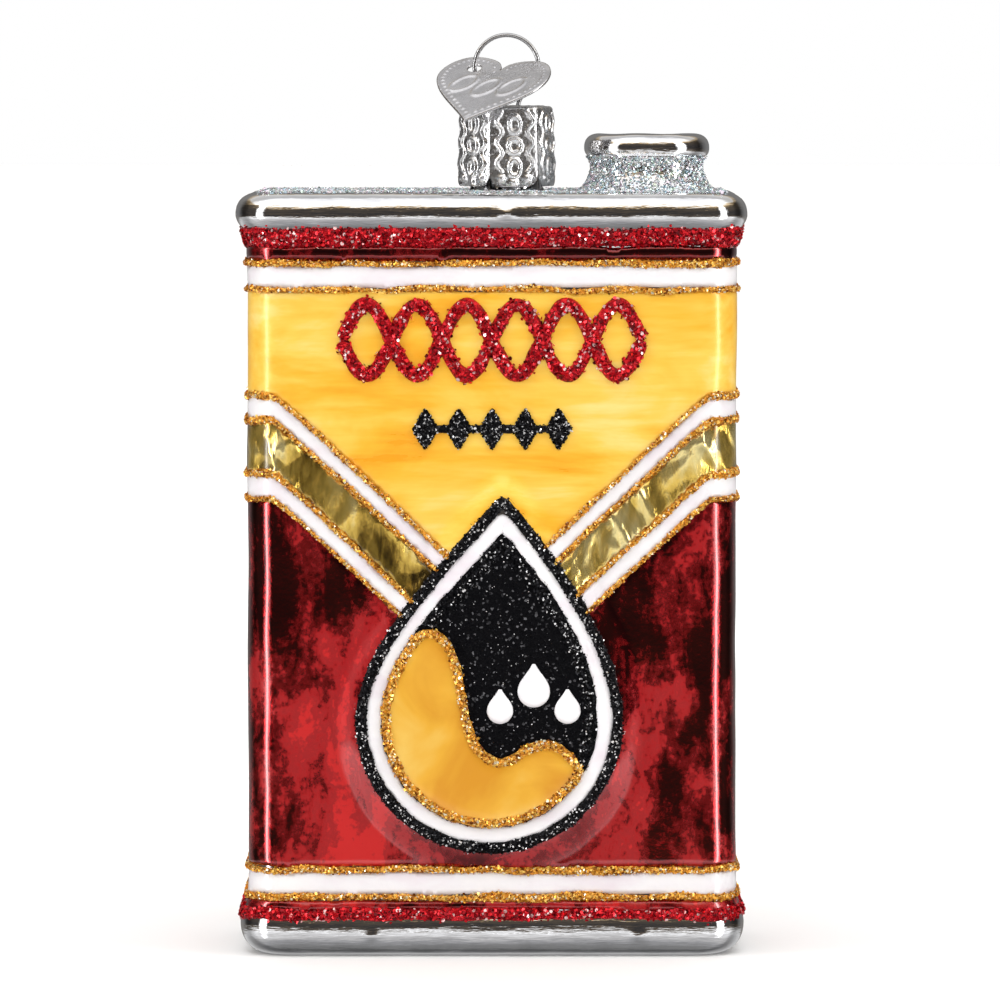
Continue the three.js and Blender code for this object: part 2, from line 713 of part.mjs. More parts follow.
for (const [sideName, side] of [['left', -1], ['right', 1]]) {
  BENT_BANDS.forEach(([name, shell, look], index) => {
    const solid = bentBand(shell, VEE_BORDERS[index], VEE_BORDERS[index + 1], side);
    ornament.add(meshOf(`${name}_${sideName}`, solid, look));
  });
}

for (const [faceName, side] of [['front', -1], ['back', 1]]) {
  ornament.add(
    meshOf(`drop_outline_${faceName}`, dropOutlineBead(side), blackGlitter),
    meshOf(`drop_white_line_${faceName}`, dropWhiteLine(side), whiteEnamel),
    meshOf(`drop_black_field_${faceName}`, dropBlackField(side), blackEnamel),
    meshOf(`drop_oil_${faceName}`, dropOil(side), yellowEnamel),
    meshOf(`drop_oil_edge_${faceName}`, dropOilEdge(side), goldGlitter),
    meshOf(`red_motif_${faceName}`, redMotif(side), redGlitter),
    meshOf(`black_motif_${faceName}`, blackMotif(side), blackGlitter),
  );
  DROPLETS.forEach(({ x, z, size }, index) => {
    const solid = onDrop(dropletOutline(x, z, size), COAT + SKIN_GAP, 2 * COAT + SKIN_GAP, side);
    ornament.add(meshOf(`droplet_${index + 1}_${faceName}`, solid, whiteEnamel));
  });
}

ornament.add(
  meshOf('cap_crown', capCrown(), stampedTin),
  meshOf('hanger_wire', hangerWire(), springWire),
  heartTag(),
);

export default ornament;
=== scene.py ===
"""The looks of a silvered glass ornament in the shape of an oil tin, built round its CAD frame.

Shapes are worked out in millimetres with numpy and become Blender meshes in metres. Every coat of
enamel, lacquer or glitter is a patch of one curved surface, the wall of the can, at a small lift.
"""

import json
import math

import bmesh
import bpy
import numpy as np
from mathutils import Matrix, Vector
from mathutils.geometry import delaunay_2d_cdt


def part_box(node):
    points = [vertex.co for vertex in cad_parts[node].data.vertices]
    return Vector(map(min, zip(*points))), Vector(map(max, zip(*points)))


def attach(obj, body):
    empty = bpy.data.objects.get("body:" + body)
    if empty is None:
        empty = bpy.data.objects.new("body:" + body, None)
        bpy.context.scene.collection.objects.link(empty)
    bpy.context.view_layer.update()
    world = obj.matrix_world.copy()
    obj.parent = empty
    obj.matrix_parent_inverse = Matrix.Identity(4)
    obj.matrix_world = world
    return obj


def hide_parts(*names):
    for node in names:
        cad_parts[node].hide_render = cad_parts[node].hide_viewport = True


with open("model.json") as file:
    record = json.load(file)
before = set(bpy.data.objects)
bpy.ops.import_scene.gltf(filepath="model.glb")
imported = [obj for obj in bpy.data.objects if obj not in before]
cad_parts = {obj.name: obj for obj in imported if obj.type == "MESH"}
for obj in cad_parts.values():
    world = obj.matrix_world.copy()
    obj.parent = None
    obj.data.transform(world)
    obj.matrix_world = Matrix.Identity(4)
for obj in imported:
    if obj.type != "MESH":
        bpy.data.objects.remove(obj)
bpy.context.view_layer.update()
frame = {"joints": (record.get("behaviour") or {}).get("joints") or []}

MM = 0.001
FRONT, BACK = -1, 1


def cad_box(node):
    """A node's lowest and highest corners, in millimetres."""
    low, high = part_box(node)
    return np.array(low) / MM, np.array(high) / MM


# ---- driving dimensions, in millimetres ------------------------------------------------

GLASS_HIGH = cad_box("glass_body")[1]
TOP_BULGE = 1.35
BOTTOM_BULGE = 1.05
HALF_WIDTH = GLASS_HIGH[0] - TOP_BULGE
HALF_DEPTH = GLASS_HIGH[1] - TOP_BULGE
CORNER = 4.6
DECK_Z = cad_box("silver_glitter_deck")[0][2] - 0.05
DECK_INSET = 1.5
BASE_INSET = 2.2
WALL_LOW, WALL_HIGH = 8.0, 79.4
SWELL = 0.4                      # how far the broad faces bow out
RELIEF = 1.0                     # how far the drop stands out from them
COAT = 0.2
BEAD = 0.4
COAT_FOOT = -0.3                 # the underside of a coat, sunk into the glass
LAP = 0.3                        # how far a coat runs on under the glitter beside it
DROP_COVER = 0.6                 # how far the coats round the drop run under its outline
FLAKE_COVER = 1.7                # the flakes' area over the area of the line they lie on
HEXAGON_AREA = 2.6               # a flake's area over the square of its radius

DROP_LOW, DROP_HIGH = cad_box("drop_outline_front")
DROP_RADIUS = (DROP_HIGH[0] - DROP_LOW[0]) / 2
DROP_X = (DROP_HIGH[0] + DROP_LOW[0]) / 2
DROP_Z = DROP_LOW[2] + DROP_RADIUS
APEX_X, APEX_Z = 1.2, DROP_HIGH[2]

BENDS = ["gold_line_bend_1", "white_bend_upper", "gold_line_bend_2", "gold_bend",
         "gold_line_bend_3", "white_bend_lower", "gold_line_bend_4"]
BEND_TOPS = [cad_box(f"{name}_left")[1][2] for name in BENDS]
BEND_TOPS.append(cad_box("red_lacquer_panel")[1][2])
BEND_X, BEND_SLOPE, BEND_SOFTNESS = 24.7, 0.9373, 0.6

CAP_LOW, CAP_HIGH = cad_box("cap_crown")
CAP_X = (CAP_LOW[0] + CAP_HIGH[0]) / 2
WIRE_LOW, WIRE_HIGH = cad_box("hanger_wire")
WIRE_RADIUS = (WIRE_HIGH[1] - WIRE_LOW[1]) / 2
LOOP_RADIUS = (WIRE_HIGH[0] - WIRE_LOW[0]) / 2 - WIRE_RADIUS
LOOP_Z = WIRE_HIGH[2] - WIRE_RADIUS - LOOP_RADIUS


# ---- small mathematics -----------------------------------------------------------------

def smooth(low, high, value):
    """0 below low, 1 above high and an S-curve between."""
    t = np.clip((value - low) / (high - low), 0.0, 1.0)
    return t * t * (3 - 2 * t)


def bezier(points, count):
    """Points along a cubic Bezier curve, both ends included."""
    t = np.linspace(0, 1, count)[:, None]
    a, b, c, d = (np.array(p, float) for p in points)
    return (1 - t) ** 3 * a + 3 * (1 - t) ** 2 * t * b + 3 * (1 - t) * t * t * c + t ** 3 * d


def chain(*curves):
    """Several point rows joined end to end, without doubled joins."""
    return np.concatenate([curves[0]] + [curve[1:] for curve in curves[1:]])


def resample(points, spacing, closed):
    """The same line with even spacing."""
    if closed:
        points = np.vstack([points, points[:1]])
    steps = np.linalg.norm(np.diff(points, axis=0), axis=1)
    along = np.concatenate([[0], np.cumsum(steps)])
    count = max(4, int(round(along[-1] / spacing)))
    at = np.linspace(0, along[-1], count + 1)
    line = np.stack([np.interp(at, along, points[:, k]) for k in range(points.shape[1])], 1)
    return line[:-1] if closed else line


def soften(points, rounds):
    """A closed line with its corners rounded by averaging neighbours."""
    for _ in range(rounds):
        points = (np.roll(points, 1, 0) + 2 * points + np.roll(points, -1, 0)) / 4
    return points


def distance_to(points, line, closed=True):
    """The distance from each point to a line of straight pieces, all in two dimensions."""
    a = line
    b = np.roll(line, -1, 0) if closed else line[1:]
    a = a if closed else line[:-1]
    best = np.full(len(points), 1e9)
    for start, end in zip(a, b):
        along = end - start
        t = np.clip(((points - start) @ along) / max(1e-12, along @ along), 0, 1)
        gap = points - (start + t[:, None] * along)
        best = np.minimum(best, np.einsum("ij,ij->i", gap, gap))
    return np.sqrt(best)


def inside(points, outline):
    """Whether each point is inside a closed outline."""
    x, z = points[:, 0], points[:, 1]
    found = np.zeros(len(points), bool)
    for a, b in zip(outline, np.roll(outline, -1, 0)):
        crosses = (a[1] > z) != (b[1] > z)
        with np.errstate(divide="ignore", invalid="ignore"):
            at = a[0] + (z - a[1]) / (b[1] - a[1]) * (b[0] - a[0])
        found ^= crosses & (x < at)
    return found


class Waves:
    """Smooth noise: a sum of seeded plane waves of about one wavelength."""

    def __init__(self, seed, wavelength, count=14):
        rng = np.random.default_rng(seed)
        directions = rng.normal(size=(count, 3))
        directions /= np.linalg.norm(directions, axis=1)[:, None]
        scale = rng.uniform(0.7, 1.5, size=(count, 1)) * 2 * math.pi / wavelength
        self.waves = directions * scale
        self.phases = rng.uniform(0, 2 * math.pi, count)
        self.gain = math.sqrt(2 / count)

    def __call__(self, x, y, z):
        total = np.zeros(np.broadcast(x, y, z).shape)
        for wave, phase in zip(self.waves, self.phases):
            total += np.sin(wave[0] * x + wave[1] * y + wave[2] * z + phase)
        return total * self.gain


BROAD_RIPPLE = Waves(11, 17.0)
FINE_RIPPLE = Waves(12, 6.0)
EDGE_WOBBLE = Waves(13, 7.0)
BEAD_LUMPS = Waves(14, 1.3)


# ---- the wall of the can ---------------------------------------------------------------

def side_profile():
    """How far the glass stands out from the wall, and its height, from the base to the deck."""
    return chain(
        bezier([(-BASE_INSET, 0), (-0.3, 0), (BOTTOM_BULGE, 1.3), (BOTTOM_BULGE, 3.4)], 36),
        bezier([(BOTTOM_BULGE, 3.4), (BOTTOM_BULGE, 4.9), (0, 5.4), (0, WALL_LOW)], 28),
        bezier([(0, WALL_LOW), (0, 30), (0, 55), (0, WALL_HIGH)], 100),
        bezier([(0, WALL_HIGH), (0, 82.0), (TOP_BULGE, 82.6), (TOP_BULGE, 83.7)], 28),
        bezier([(TOP_BULGE, 83.7), (TOP_BULGE, 85.3), (0.4, DECK_Z), (-DECK_INSET, DECK_Z)], 36),
    )


PROFILE = side_profile()
TANGENT = np.gradient(PROFILE, axis=0)
TANGENT /= np.linalg.norm(TANGENT, axis=1)[:, None]
PROFILE_OUT = TANGENT[:, 1]
PROFILE_UP = -TANGENT[:, 0]

HALF_FRONT = HALF_WIDTH - CORNER
HALF_SIDE = HALF_DEPTH - CORNER
ARC = CORNER * math.pi / 2
ROUND_TRIP = 4 * HALF_FRONT + 4 * HALF_SIDE + 4 * ARC
HALF_TRIP = ROUND_TRIP / 2
SIDE_MIDDLE = ROUND_TRIP / 4


def wall_at(s):
    """The wall's place and outward direction at a distance s round it from the front middle."""
    s = np.mod(np.asarray(s, float), ROUND_TRIP)
    ends = np.cumsum([HALF_FRONT, ARC, 2 * HALF_SIDE, ARC, 2 * HALF_FRONT, ARC, 2 * HALF_SIDE, ARC])
    corners = [(1, -1, ends[0], -90), (1, 1, ends[2], 0), (-1, 1, ends[4], 90), (-1, -1, ends[6], 180)]
    x = np.where(s < ends[0], s, s - ROUND_TRIP)
    y = np.full(s.shape, -HALF_DEPTH)
    nx = np.zeros(s.shape)
    ny = np.full(s.shape, -1.0)
    right = (s >= ends[1]) & (s < ends[2])
    back = (s >= ends[3]) & (s < ends[4])
    left = (s >= ends[5]) & (s < ends[6])
    x = np.select([right, back, left], [HALF_WIDTH, HALF_FRONT - (s - ends[3]), -HALF_WIDTH], x)
    y = np.select([right, back, left],
                  [-HALF_SIDE + (s - ends[1]), HALF_DEPTH, HALF_SIDE - (s - ends[5])], y)
    nx = np.select([right, back, left], [1.0, 0.0, -1.0], nx)
    ny = np.select([right, back, left], [0.0, 1.0, 0.0], ny)
    for sx, sy, start, degrees in corners:
        here = (s >= start) & (s < start + ARC)
        angle = np.radians(degrees) + (s - start) / CORNER
        x = np.where(here, sx * HALF_FRONT + CORNER * np.cos(angle), x)
        y = np.where(here, sy * HALF_SIDE + CORNER * np.sin(angle), y)
        nx = np.where(here, np.cos(angle), nx)
        ny = np.where(here, np.sin(angle), ny)
    return x, y, nx, ny


def drop_outline(inset, count=40):
    """The drop's outline in X and Z, drawn smaller by an inset all round, from the apex leftwards."""
    radius = DROP_RADIUS - inset
    sink = 1.55 * inset
    apex = (APEX_X, APEX_Z - sink)
    left, right = (DROP_X - radius, DROP_Z), (DROP_X + radius, DROP_Z)
    shoulder = 46.2 - sink
    angles = np.linspace(math.pi, 2 * math.pi, count)
    belly = np.stack([DROP_X + radius * np.cos(angles), DROP_Z + radius * np.sin(angles)], 1)
    return chain(
        bezier([apex, (APEX_X - 5.5, shoulder), (left[0], 35.0), left], count),
        belly,
        bezier([right, (right[0], 35.0), (APEX_X + 5.5, shoulder), apex], count),
    )[:-1]


DROP = drop_outline(0)


def swell(x, z):
    """How far a broad face stands out at a place: its bow and the raised drop."""
    x, z = np.broadcast_arrays(np.asarray(x, float), np.asarray(z, float))
    bow = SWELL * np.clip(1 - (x / HALF_WIDTH) ** 2, 0, 1)
    bow = bow * np.sin(math.pi * np.clip((z - WALL_LOW) / (WALL_HIGH - WALL_LOW), 0, 1))
    flat = np.stack([x.ravel(), z.ravel()], 1)
    near = (np.abs(flat[:, 0]) < DROP_RADIUS + 3) & (flat[:, 1] > 9) & (flat[:, 1] < APEX_Z + 3)
    raised = np.zeros(len(flat))
    if near.any():
        gap = distance_to(flat[near], DROP)
        gap = np.where(inside(flat[near], DROP), gap, -gap)
        raised[near] = RELIEF * smooth(-2.7, 0.4, gap)
    return bow + raised.reshape(x.shape)


MOULD_MARKS = [(1.6, 84.0), (-13.6, 2.4), (16.5, 2.4)]


def mould_marks(x, z):
    """Tiny nubs that the mould leaves on the rims."""
    total = np.zeros(np.broadcast(x, z).shape)
    for mark_x, mark_z in MOULD_MARKS:
        total += 0.22 * np.exp(-((x - mark_x) ** 2 + (z - mark_z) ** 2) / 0.3)
    return total


def can_points(s, out, up, lean_out, lean_up, lift):
    """Points on the can: s round it, out and up on its side profile, lifted along its normal."""
    x, y, nx, ny = wall_at(s)
    facing = np.abs(ny) ** 4
    ripple = 0.05 * BROAD_RIPPLE(x, y, up) + 0.012 * FINE_RIPPLE(x, y, up)
    ripple = ripple * smooth(0.0, 2.0, up)
    total = out + facing * (swell(x, up) + mould_marks(x, up)) + ripple + lift * lean_out
    return np.stack([x + nx * total, y + ny * total, np.maximum(up + lift * lean_up, 0)], -1)


def at_height(s, z, lift):
    """Points on the can at a height on its wall or rims, and their outward directions."""
    out = np.interp(z, PROFILE[:, 1], PROFILE[:, 0])
    lean_out = np.interp(z, PROFILE[:, 1], PROFILE_OUT)
    lean_up = np.interp(z, PROFILE[:, 1], PROFILE_UP)
    _, _, nx, ny = wall_at(s)
    normals = np.stack([nx * lean_out, ny * lean_out, lean_up * np.ones_like(nx)], -1)
    return can_points(s, out, z, lean_out, lean_up, lift), normals


def onto(line, side):
    """A line drawn in X and Z, as distances round the can and heights, on the front or back."""
    if side == FRONT:
        return line
    return (line * (-1, 1) + (HALF_TRIP, 0))[::-1]


def in_a_drop(spots, inset):
    """Whether places round the can are inside the drop on its front or back."""
    found = np.zeros(len(spots), bool)
    for side in (FRONT, BACK):
        outline = onto(drop_outline(inset), side)
        for turn in (-ROUND_TRIP, 0, ROUND_TRIP):
            moved = outline + (turn, 0)
            near = np.abs(spots[:, 0] - moved[:, 0].mean()) < DROP_RADIUS + 3
            if near.any():
                found[near] |= inside(spots[near], moved)
    return found


# ---- meshes ----------------------------------------------------------------------------

class Build:
    """Gathers points, faces, a tint for each face and its material, then makes one object."""

    def __init__(self):
        self.points, self.faces, self.tints, self.looks, self.shades = [], [], [], [], []
        self.count = 0

    def add(self, points, faces, look=0, tints=None, smooth_shade=True):
        points = np.asarray(points, float).reshape(-1, 3)
        for index, rows in enumerate(faces):
            self.faces.append(rows + self.count)
            self.looks.append(np.full(len(rows), look))
            self.shades.append(np.full(len(rows), smooth_shade))
            self.tints.append(tints[index] if tints else np.full(len(rows), 0.5))
        self.points.append(points)
        self.count += len(points)

    def make(self, node, suffix, materials, body="glass", name=None):
        """The piece that takes the place of a CAD node, named after it unless it has its own name."""
        points = np.concatenate(self.points) * MM
        sizes = np.concatenate([np.full(len(rows), rows.shape[1]) for rows in self.faces])
        loops = np.concatenate([rows.ravel() for rows in self.faces])
        name = name or f"{node}_{suffix}"
        mesh = bpy.data.meshes.new(name)
        mesh.vertices.add(len(points))
        mesh.vertices.foreach_set("co", points.ravel())
        mesh.loops.add(len(loops))
        mesh.loops.foreach_set("vertex_index", loops)
        mesh.polygons.add(len(sizes))
        mesh.polygons.foreach_set("loop_start", np.concatenate([[0], np.cumsum(sizes)[:-1]]))
        mesh.polygons.foreach_set("material_index", np.concatenate(self.looks))
        mesh.polygons.foreach_set("use_smooth", np.concatenate(self.shades))
        mesh.update(calc_edges=True)
        mesh.validate()
        tint = mesh.attributes.new("tint", "FLOAT", "FACE")
        tint.data.foreach_set("value", np.concatenate(self.tints))
        for material in materials:
            mesh.materials.append(material)
        piece = bpy.data.objects.new(name, mesh)
        bpy.context.scene.collection.objects.link(piece)
        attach(piece, body)
        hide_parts(node)
        return piece


def grid_faces(rows, columns, closed, start=0):
    """Four-sided faces over a grid of points, row by row; closed joins the last column to the first."""
    last = columns if closed else columns - 1
    row, column = np.meshgrid(np.arange(rows - 1), np.arange(last), indexing="ij")
    here = start + row * columns + column
    right = start + row * columns + (column + 1) % columns
    return np.stack([here, right, right + columns, here + columns], -1).reshape(-1, 4)


def fan(ring, turned_over=False):
    """One many-sided face over a ring of points."""
    return np.array([ring[::-1] if turned_over else ring])


def sheet(top, bottom, closed):
    """A closed shell between two grids of points that share their edge lines."""
    rows, columns = top.shape[:2]
    points = np.concatenate([top.reshape(-1, 3), bottom.reshape(-1, 3)])
    under = rows * columns
    low_rows = bottom.shape[0]
    faces = [grid_faces(rows, columns, closed)]
    faces.append(grid_faces(low_rows, columns, closed, under)[:, ::-1])
    steps = columns if closed else columns - 1
    here = np.arange(steps)
    right = (here + 1) % columns
    foot = np.stack([under + here, under + right, right, here], 1)
    over = (rows - 1) * columns
    under_top = under + (low_rows - 1) * columns
    head = np.stack([over + here, over + right, under_top + right, under_top + here], 1)
    faces += [foot, head]
    if not closed:
        for column, flip in ((0, True), (columns - 1, False)):
            up_side = np.arange(rows) * columns + column
            down_side = under + np.arange(low_rows) * columns + column
            ring = np.concatenate([up_side, down_side[::-1]])
            faces.append(fan(ring, flip))
    return points, faces


def add_chips(build, rng, centres, normals, radius, tilt=0.42, raise_by=0.1, look=1):
    """Adds glitter: six-sided flakes that lie about on a surface, each with a point sunk into the glue."""
    count = len(centres)
    lean = normals + rng.normal(scale=tilt, size=(count, 3))
    lean /= np.linalg.norm(lean, axis=1)[:, None]
    helper = rng.normal(size=(count, 3))
    one = np.cross(lean, helper)
    one /= np.linalg.norm(one, axis=1)[:, None]
    other = np.cross(lean, one)
    size = radius * rng.uniform(0.7, 1.25, size=count)
    centre = centres + normals * (raise_by * rng.uniform(0.2, 1.0, size=(count, 1)))
    angles = np.arange(6) * math.pi / 3
    rim = (centre[:, None, :]
           + size[:, None, None] * (np.cos(angles)[None, :, None] * one[:, None, :]
                                    + np.sin(angles)[None, :, None] * other[:, None, :]))
    foot = centre - lean * size[:, None] * 0.45
    points = np.concatenate([rim, foot[:, None, :]], 1).reshape(-1, 3)
    base = np.arange(count)[:, None] * 7
    top = base + np.arange(6)[None, :]
    sides = np.stack([base + np.full((1, 6), 6),
                      base + (np.arange(6)[None, :] + 1) % 6,
                      base + np.arange(6)[None, :]], -1).reshape(-1, 3)
    tint = rng.uniform(0, 1, count)
    build.add(points, [top, sides], look, [tint, np.repeat(tint, 6)], smooth_shade=False)


# ---- coats round the can ---------------------------------------------------------------

def fill(loops, spacing, rng):
    """Points and triangles over the area inside the first loop and outside the others."""
    outline, holes = loops[0], loops[1:]
    low, high = outline.min(0), outline.max(0)
    columns = np.arange(low[0], high[0], spacing)
    rows = np.arange(low[1], high[1], spacing * 0.87)
    x, z = np.meshgrid(columns, rows)
    x = x + spacing / 2 * (np.arange(len(rows)) % 2)[:, None]
    grid = np.stack([x.ravel(), z.ravel()], 1)
    grid = grid + rng.uniform(-0.08, 0.08, grid.shape) * spacing
    keep = inside(grid, outline)
    for hole in holes:
        keep &= ~inside(grid, hole)
    grid = grid[keep]
    for loop in loops:
        grid = grid[distance_to(grid, loop) > 0.45 * spacing]
    edges = []
    start = 0
    for loop in loops:
        count = len(loop)
        edges += [(start + i, start + (i + 1) % count) for i in range(count)]
        start += count
    points = [Vector(point) for point in np.concatenate([*loops, grid])]
    found = delaunay_2d_cdt(points, edges, [], 0, 1e-7)
    flat = np.array([tuple(point) for point in found[0]])
    faces = np.array([list(face) for face in found[2] if len(face) == 3])
    middle = flat[faces].mean(1)
    kept = inside(middle, outline)
    for hole in holes:
        kept &= ~inside(middle, hole)
    faces = faces[kept]
    one, other = flat[faces[:, 1]] - flat[faces[:, 0]], flat[faces[:, 2]] - flat[faces[:, 0]]
    turned = one[:, 0] * other[:, 1] - one[:, 1] * other[:, 0] < 0
    faces[turned] = faces[turned][:, ::-1]
    return flat, faces


def shell(build, faces, top, bottom, look=0):
    """A closed shell between a top and a bottom sheet of points with the same triangles."""
    edges = np.concatenate([faces[:, [0, 1]], faces[:, [1, 2]], faces[:, [2, 0]]])
    keys = np.sort(edges, 1)
    _, which, uses = np.unique(keys, axis=0, return_inverse=True, return_counts=True)
    rim = edges[uses[which.ravel()] == 1]
    count = len(top)
    walls = np.stack([rim[:, 0], rim[:, 0] + count, rim[:, 1] + count, rim[:, 1]], 1)
    build.add(np.concatenate([top, bottom]), [faces, faces[:, ::-1] + count, walls], look)


def rounded(gap, edge):
    """A rise from 0 to 1 over the width of a rounded edge."""
    return np.sqrt(np.clip(1 - (1 - np.clip(gap / edge, 0, 1)) ** 2, 0, 1))


def wavy_edges(s, low, high, wobble, seed):
    """The heights of a band's two edges, with the wobble of a hand-drawn line."""
    x, y, _, _ = wall_at(s)
    bottom = low(s) + wobble * EDGE_WOBBLE(x + seed, y, 0)
    top = high(s) + wobble * EDGE_WOBBLE(x, y + seed, 50)
    return bottom, top


def strip(span, low, high, spacing, rng, wobble, seed):
    """The flat area between two edges round the can, less the drops, and its gap to the edges."""
    start, end = span
    s = np.linspace(start, end, int(round((end - start) / spacing)) + 1)
    bottom, top = (np.stack([s, edge], 1) for edge in wavy_edges(s, low, high, wobble, seed))
    rises = max(3, int(round((top[0, 1] - bottom[0, 1]) / spacing)) + 1)
    share = np.linspace(0, 1, rises)[1:-1, None]
    left = top[0] + (bottom[0] - top[0]) * share
    right = bottom[-1] + (top[-1] - bottom[-1]) * share
    outline = np.concatenate([bottom, right, top[::-1], left])
    drops = []
    for side in (FRONT, BACK):
        drop = resample(onto(drop_outline(DROP_COVER), side), spacing, True)
        shifts = [turn for turn in (-ROUND_TRIP, 0.0)
                  if start - DROP_RADIUS < drop[:, 0].mean() + turn < end + DROP_RADIUS]
        if drop[:, 1].max() > bottom[:, 1].min() and drop[:, 1].min() < top[:, 1].max():
            drops += [drop + (turn, 0) for turn in shifts]
    flat, faces = fill([outline, *drops], spacing, rng)
    gap = np.minimum(distance_to(flat, bottom, False), distance_to(flat, top, False))
    if end - start > ROUND_TRIP - 1e-6:
        faces = join_ends(flat, faces, start, end)
    used, faces = np.unique(faces, return_inverse=True)
    return flat[used], faces.reshape(-1, 3), gap[used]


def join_ends(flat, faces, start, end):
    """Faces that share their points where a whole round meets itself."""
    first = np.flatnonzero(np.abs(flat[:, 0] - start) < 1e-5)
    last = np.flatnonzero(np.abs(flat[:, 0] - end) < 1e-5)
    first = first[np.argsort(flat[first, 1])]
    last = last[np.argsort(flat[last, 1])]
    same = np.arange(len(flat))
    same[last] = first
    return same[faces]


def on_can(flat, lift):
    """Points on the can above flat places, lifted along its normal."""
    return at_height(flat[:, 0], flat[:, 1], lift)[0]


def coat(build, span, low, high, thickness, spacing=0.6, seed=0, wobble=0.1):
    """A coat of paint between two edges, which are functions of the distance round the can."""
    rng = np.random.default_rng(seed)
    flat, faces, gap = strip(span, low, high, spacing, rng, wobble, seed)
    top = on_can(flat, 0.02 + thickness * rounded(gap, 0.22))
    shell(build, faces, top, on_can(flat, COAT_FOOT))


def bead(build, rng, span, low, high, thickness, flake, seed=0, wobble=0.12):
    """A raised line of glue and glitter between two edges, covered in flakes."""
    flat, faces, gap = strip(span, low, high, 0.27, rng, wobble, seed)
    half = float(np.mean(high(flat[:, 0]) - low(flat[:, 0]))) / 2
    x, y, _, _ = wall_at(flat[:, 0])
    lumps = 1 + 0.18 * BEAD_LUMPS(x, y, flat[:, 1])
    top = on_can(flat, thickness * rounded(gap, half) * lumps)
    shell(build, faces, top, on_can(flat, COAT_FOOT))
    start, end = span
    area = (end - start) * 2 * half
    count = int(area * FLAKE_COVER / (HEXAGON_AREA * flake * flake))
    s = rng.uniform(start, end, count)
    share = np.clip(rng.normal(0.5, 0.25, count), -0.15, 1.15)
    bottom, top = wavy_edges(s, low, high, wobble, seed)
    spots = np.stack([s, bottom + (top - bottom) * share], 1)
    kept = ~in_a_drop(spots, 0.4)
    spots, share = spots[kept], share[kept]
    rise = thickness * rounded((1 - np.abs(2 * share - 1)) * half, half)
    centres, normals = at_height(spots[:, 0], spots[:, 1], rise)
    normals[:, 2] += (share - 0.5) * 1.3
    normals /= np.linalg.norm(normals, axis=1)[:, None]
    add_chips(build, rng, centres, normals, flake)


def level(z):
    """An edge at one height."""
    return lambda s: np.full(np.shape(s), float(z))


def bent(z):
    """An edge that runs level on the side walls and down to the drop on the faces."""
    def edge(s):
        x, _, _, ny = wall_at(s)
        run = np.clip(BEND_X - np.abs(x), 0, None)
        run = run * run / (run + BEND_SOFTNESS)
        return z - BEND_SLOPE * run * (np.abs(ny) > 0)
    return edge


WHOLE = (-SIDE_MIDDLE, 3 * SIDE_MIDDLE)
SIDES = {"left": (-HALF_TRIP, 0.0), "right": (0.0, HALF_TRIP)}


# ---- materials -------------------------------------------------------------------------

class Nodes:
    """Short ways to add nodes to a material's or a world's tree."""

    def __init__(self, tree):
        self.tree = tree

    def node(self, kind, settings=None, **links):
        made = self.tree.nodes.new(kind)
        for key, value in (settings or {}).items():
            setattr(made, key, value)
        for key, value in links.items():
            self.feed(made.inputs[key.replace("_", " ")], value)
        return made

    def feed(self, socket, value):
        if isinstance(value, bpy.types.NodeSocket):
            self.tree.links.new(value, socket)
        else:
            socket.default_value = value

    def math(self, operation, *values):
        made = self.node("ShaderNodeMath", {"operation": operation})
        for socket, value in zip(made.inputs, values):
            self.feed(socket, value)
        return made.outputs[0]

    def ramp(self, value, stops):
        made = self.node("ShaderNodeValToRGB", Fac=value)
        elements = made.color_ramp.elements
        while len(elements) < len(stops):
            elements.new(0.5)
        for element, (place, color) in zip(elements, stops):
            element.position = place
            element.color = (*color, 1.0)
        return made.outputs["Color"]

    def spread(self, value, low, high, new_low, new_high, kind="LINEAR"):
        made = self.node("ShaderNodeMapRange", {"interpolation_type": kind}, Value=value)
        for index, number in enumerate((low, high, new_low, new_high), start=1):
            made.inputs[index].default_value = number
        return made.outputs["Result"]

    def step(self, value, start, end, new_start=0.0, new_end=1.0):
        return self.spread(value, start, end, new_start, new_end, "SMOOTHSTEP")

    def blend(self, share, one, other):
        made = self.node("ShaderNodeMix", {"data_type": "RGBA"})
        self.feed(made.inputs["Factor"], share)
        self.feed(made.inputs["A"], one)
        self.feed(made.inputs["B"], other)
        return made.outputs["Result"]


class Look(Nodes):
    """A Principled material."""

    def __init__(self, name, **values):
        self.material = bpy.data.materials.new(name)
        self.material.use_nodes = True
        super().__init__(self.material.node_tree)
        self.shader = self.tree.nodes["Principled BSDF"]
        for key, value in values.items():
            self.shader.inputs[key.replace("_", " ")].default_value = value

    def place(self, stretch=(1, 1, 1), turn=(0, 0, 0)):
        coordinates = self.node("ShaderNodeTexCoord")
        mapping = self.node("ShaderNodeMapping", Vector=coordinates.outputs["Object"],
                            Scale=stretch, Rotation=turn)
        return mapping.outputs["Vector"]

    def noise(self, place, scale, detail=3.0, roughness=0.55, distortion=0.0):
        made = self.node("ShaderNodeTexNoise", Vector=place, Scale=scale, Detail=detail,
                         Roughness=roughness, Distortion=distortion)
        return made.outputs["Fac"]

    def cells(self, place, scale):
        return self.node("ShaderNodeTexVoronoi", Vector=place, Scale=scale)

    def bump(self, height, distance, strength=1.0, after=None):
        made = self.node("ShaderNodeBump", Height=height, Distance=distance, Strength=strength)
        if after is not None:
            self.feed(made.inputs["Normal"], after)
        return made.outputs["Normal"]

    def tint(self):
        return self.node("ShaderNodeAttribute", {"attribute_name": "tint"}).outputs["Fac"]

    def set(self, **sockets):
        for key, value in sockets.items():
            self.feed(self.shader.inputs[key.replace("_", " ")], value)
        return self


